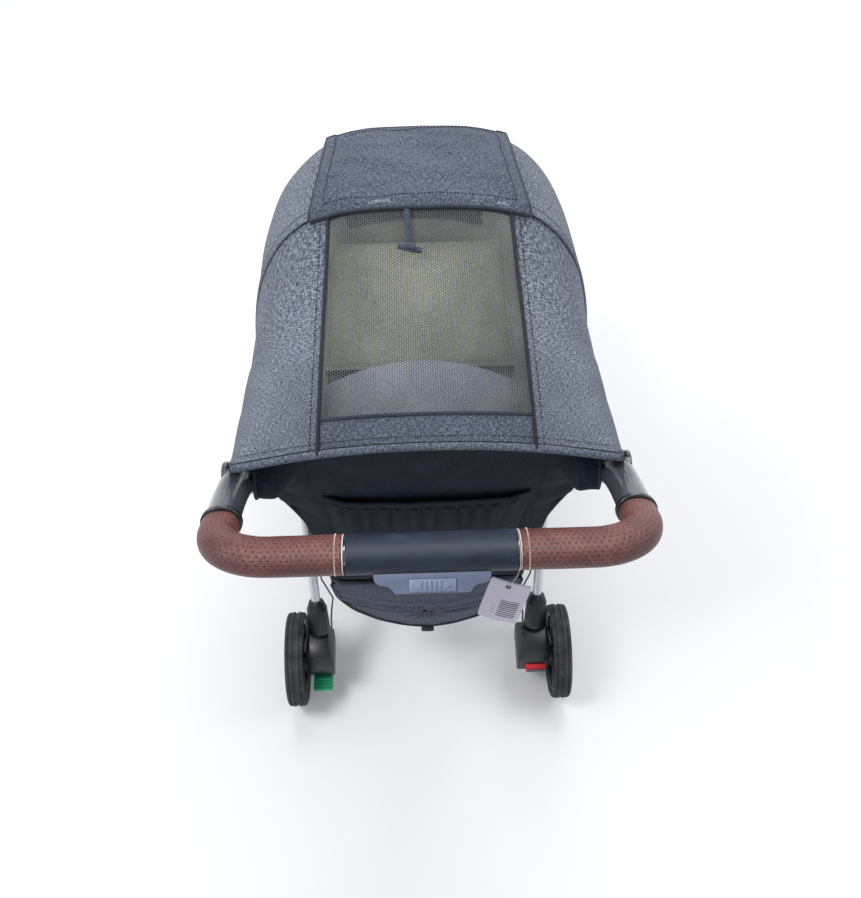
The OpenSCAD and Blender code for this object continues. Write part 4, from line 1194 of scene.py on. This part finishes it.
BEV = {
    "hub_housings": ("chassis", m_black, 0.0015), "handle_joint_housings": ("chassis", m_gloss, 0.0018),
    "caster_sockets": ("chassis", m_black, 0.001), "canopy_brackets": ("chassis", m_black, 0.001),
    "leg_knuckles": ("rear_legs", m_black, 0.0012), "leg_sleeves": ("rear_legs", m_black2, 0.0012),
    "brake_housing_left": ("rear_legs", m_black2, 0.0026), "brake_housing_right": ("rear_legs", m_black2, 0.0026),
    "brake_pedal_green": ("brake_pedal_green", m_green, 0.0007), "brake_pedal_red": ("brake_pedal_red", m_red, 0.0007),
    "fold_housing": ("handle", m_slate, 0.0013), "fold_slider": ("fold_slider", m_slate2, 0.0004),
    "fold_trigger": ("fold_trigger", m_black, 0.001),
    "grip_collars": ("handle", m_collar, 0.0009), "caster_fork_left": ("caster_left", m_black, 0.0008),
    "caster_fork_right": ("caster_right", m_black, 0.0008), "rear_rim_left": ("rear_wheel_left", m_black, 0.0008),
    "rear_rim_right": ("rear_wheel_right", m_black, 0.0008), "front_rim_left": ("front_wheel_left", m_black, 0.0007),
    "front_rim_right": ("front_wheel_right", m_black, 0.0007),
    "front_crossbar": ("chassis", m_black, 0.0008),
}
slots = {s["node"]: s.get("material_slot") for s in frame["record"].get("subparts", [])}
for node, (body, mat, w) in BEV.items():
    bevel_copy(node, body, mat, w, slot=slots.get(node))

PAINT = {"side_tubes": m_frame, "pivot_pins": m_steel, "front_legs": m_alu, "cabin_base_board": m_board, "cabin_rim_bar": m_frame,
         "cabin_struts": m_black, "mid_bow": m_black, "front_bow": m_black, "handle_tube": m_alu, "rear_leg_tubes": m_alu,
         "rear_crossbar": m_alu, "brake_cable": m_cable, "rear_axles": m_steel}
for node, mat in PAINT.items():
    o = frame["nodes"][node]
    if not o.data.materials:
        o.data.materials.append(mat)
    for i in range(len(o.data.materials)):
        o.data.materials[i] = mat


# ------------------------------------------------------------------ tyres
def tyre(name, node, body, x, y, z, R, W):
    prof = []
    h = W / 2
    half = [(R - 0.0125, h - 0.0028), (R - 0.009, h - 0.0008), (R - 0.005, h), (R - 0.0025, h - 0.0010), (R - 0.0012, h - 0.0028),
            (R - 0.0006, h - 0.0050), (R - 0.0024, h - 0.0056), (R - 0.0024, h - 0.0072), (R - 0.0002, h - 0.0078), (R, 0.0030), (R - 0.0020, 0.0022), (R - 0.0020, 0.0004)]
    prof = half + [(a, -b) for a, b in reversed(half)]
    prof = np.array(prof)
    n = 144
    P = np.zeros((n, len(prof), 3))
    for i in range(n):
        a = 2 * pi * i / n
        for j, (rr_, xx) in enumerate(prof):
            q = rr_
            if j in (3, 4, 5, len(prof) - 6, len(prof) - 5, len(prof) - 4) and i % 4 == 0:
                q -= 0.0016
            P[i, j] = (x + xx, y + q * math.cos(a), z + q * math.sin(a))
    s = np.arange(n) / n * 2 * pi * R
    dv = np.concatenate([[0], np.cumsum(np.linalg.norm(np.diff(prof, axis=0), axis=1))])
    uv = np.stack(np.broadcast_arrays(s[:, None], dv[None]), 2)
    o = grid(name, P, m_tyre, uv=uv, close_u=True, close_v=True)
    bm = bmesh.new()
    bm.from_mesh(o.data)
    bmesh.ops.recalc_face_normals(bm, faces=bm.faces)
    bm.to_mesh(o.data)
    bm.free()
    o.data.set_sharp_from_angle(angle=math.radians(50))
    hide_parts(node)
    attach(o, body)


for sx, nm in ((-1, "left"), (1, "right")):
    for kind, R, W in (("rear", 0.083, 0.032), ("front", 0.070, 0.024)):
        lo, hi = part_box("%s_tyre_%s" % (kind, nm))
        c = [(lo[i] + hi[i]) / 2 for i in range(3)]
        tyre("%s_tyre_%s_tread" % (kind, nm), "%s_tyre_%s" % (kind, nm), "%s_wheel_%s" % (kind, nm), c[0], c[1], c[2], R, W)

# smooth curved arms from the collars down into the joints
for sign, nm in ((-1, "left"), (1, "right")):
    pth = smooth_path([hpnt(sign * x, s_) for x, s_ in ((0.225, 0.1228), (0.225, 0.100), (0.2249, 0.078), (0.2243, 0.056), (0.2232, 0.036), (0.2212, 0.018), (0.2178, 0.006), (0.2132, 0.0005), (0.2095, 0.0))], 60, 3)
    t = np.linspace(0, 1, 60)
    o = tube("arm_shell_" + nm, pth, 0.0150 + 0.0048 * smoothstep(0.35, 1.0, t), m_gloss, rb=0.0195 + 0.0003 * t, up=tuple(ez), k=36)
    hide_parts("arm_knuckles")
    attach(o, "handle")
    o = tube("arm_pin_cap_" + nm, [(sign * 0.2405, H0[1], H0[2]), (sign * 0.2420, H0[1], H0[2])], 0.008, m_collar, k=28, up=(0, 0, 1))
    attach(o, "handle")
    o = tube("arm_pin_boss_" + nm, [(sign * 0.2150, H0[1], H0[2]), (sign * 0.2385, H0[1], H0[2]), (sign * 0.2405, H0[1], H0[2])], np.array([0.0192, 0.0192, 0.0172]), m_gloss, k=36, up=(0, 0, 1))
    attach(o, "handle")

# pale lip under the red pedal
lo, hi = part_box("brake_pedal_red")
lip = [(lo[0] + 0.001, -0.2300, 0.0930), (hi[0] - 0.001, -0.2300, 0.0930)]
o = tube("pedal_lip", smooth_path([(lo[0] + 0.0012, -0.2338, 0.0868), (hi[0] - 0.0012, -0.2338, 0.0868)], 8, 1), 0.0062, m_grey, rb=0.0026, up=(0, -0.35, 0.94), k=14)
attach(o, "brake_pedal_red")


# ------------------------------------------------------------------ hang tag and its string
def tag():
    a1, a2, a3 = math.radians(82.6), math.radians(8.6), math.radians(-13.6)
    Rx = np.array([[1, 0, 0], [0, math.cos(a1), -math.sin(a1)], [0, math.sin(a1), math.cos(a1)]])
    Ry = np.array([[math.cos(a2), 0, math.sin(a2)], [0, 1, 0], [-math.sin(a2), 0, math.cos(a2)]])
    Rz = np.array([[math.cos(a3), -math.sin(a3), 0], [math.sin(a3), math.cos(a3), 0], [0, 0, 1]])
    M = Rz @ Ry @ Rx
    T = np.array([0.084, -0.470, 0.947])
    n = 26
    P = np.zeros((n, n, 3))
    uv = np.zeros((n, n, 2))
    for i, u in enumerate(np.linspace(0, 1, n)):
        for j, v in enumerate(np.linspace(0, 1, n)):
            cu, cv = 2 * u - 1, 2 * v - 1
            sq = 1 - 0.045 * (abs(cu) * abs(cv)) ** 9
            q = np.array([0.00025 + 0.02225 * cu * sq, -0.039 + 0.039 * cv * (1 - 0.026 * (abs(cu) * abs(cv)) ** 9), 0.0004 + 0.0016 * math.sin(pi * u) + 0.0010 * (1 - v) ** 2])
            P[i, j] = M @ q + T
            uv[i, j] = (u, v)
    o = thick(grid("hang_tag_card", P, m_tag, uv=uv), 0.0007)
    hole = M @ np.array([-0.0015, -0.009, 0.0026]) + T
    ring_ = [hole + M @ np.array([0.0022 * math.cos(a), 0.0022 * math.sin(a), 0.0]) for a in np.linspace(0, 2 * pi, 20, endpoint=False)]
    ey_ = tube("hang_tag_eyelet", ring_, 0.0007, m_black, k=8, closed=True, up=tuple(M @ np.array([0, 0, 1.0])))
    o = join("hang_tag_card", [o, ey_])
    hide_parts("hang_tag")
    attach(o, "handle")
    return hole


hole = tag()
ringp = []
for a in np.linspace(0, 2 * pi, 60, endpoint=False):
    rr_ = (abs(math.cos(a)) ** 2.3 + abs(math.sin(a)) ** 2.3) ** (-1 / 2.3)
    ringp.append(hpnt(0.0880, L_ARM + 0.0268 * rr_ * math.cos(a), 0.0190 * rr_ * math.sin(a)))
string = tube("tag_string_loop", ringp, 0.00028, m_lightpipe, k=8, up=(1, 0, 0), closed=True)
end = hpnt(0.0880, L_ARM + 0.0270, 0.006)
drop = tube("tag_string_drop", smooth_path([end, end * 0.6 + hole * 0.4 + np.array([0.0015, -0.002, 0]), hole + np.array([0, 0, 0.001])], 16, 2), 0.00032, m_lightpipe, k=8, up=(1, 0, 0.1))
string = join("tag_string_loop", [string, drop])
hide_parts("tag_string")
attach(string, "handle")

# small shiny clips beside the hem corners
for sx in (-1, 1):
    pts = [(sx * 0.2285, -0.2965, 0.9140), (sx * 0.2295, -0.3020, 0.9200), (sx * 0.2280, -0.3060, 0.9260)]
    o = tube("hem_clip_%d" % (sx > 0), smooth_path(pts, 12, 1), 0.0035, m_collar, rb=0.0015, up=(0, 1, 0.4), k=10)
    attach(o, "chassis")

# ------------------------------------------------------------------ floor
me = bpy.data.meshes.new("floor")
me.from_pydata([(-6, -6, 0), (6, -6, 0), (6, 6, 0), (-6, 6, 0)], [], [(0, 1, 2, 3)])
floor = bpy.data.objects.new("floor", me)
bpy.context.collection.objects.link(floor)
k = Mat("floor_pale")
k.set(color=(0.86, 0.86, 0.87), rough=0.75)
me.materials.append(k.m)
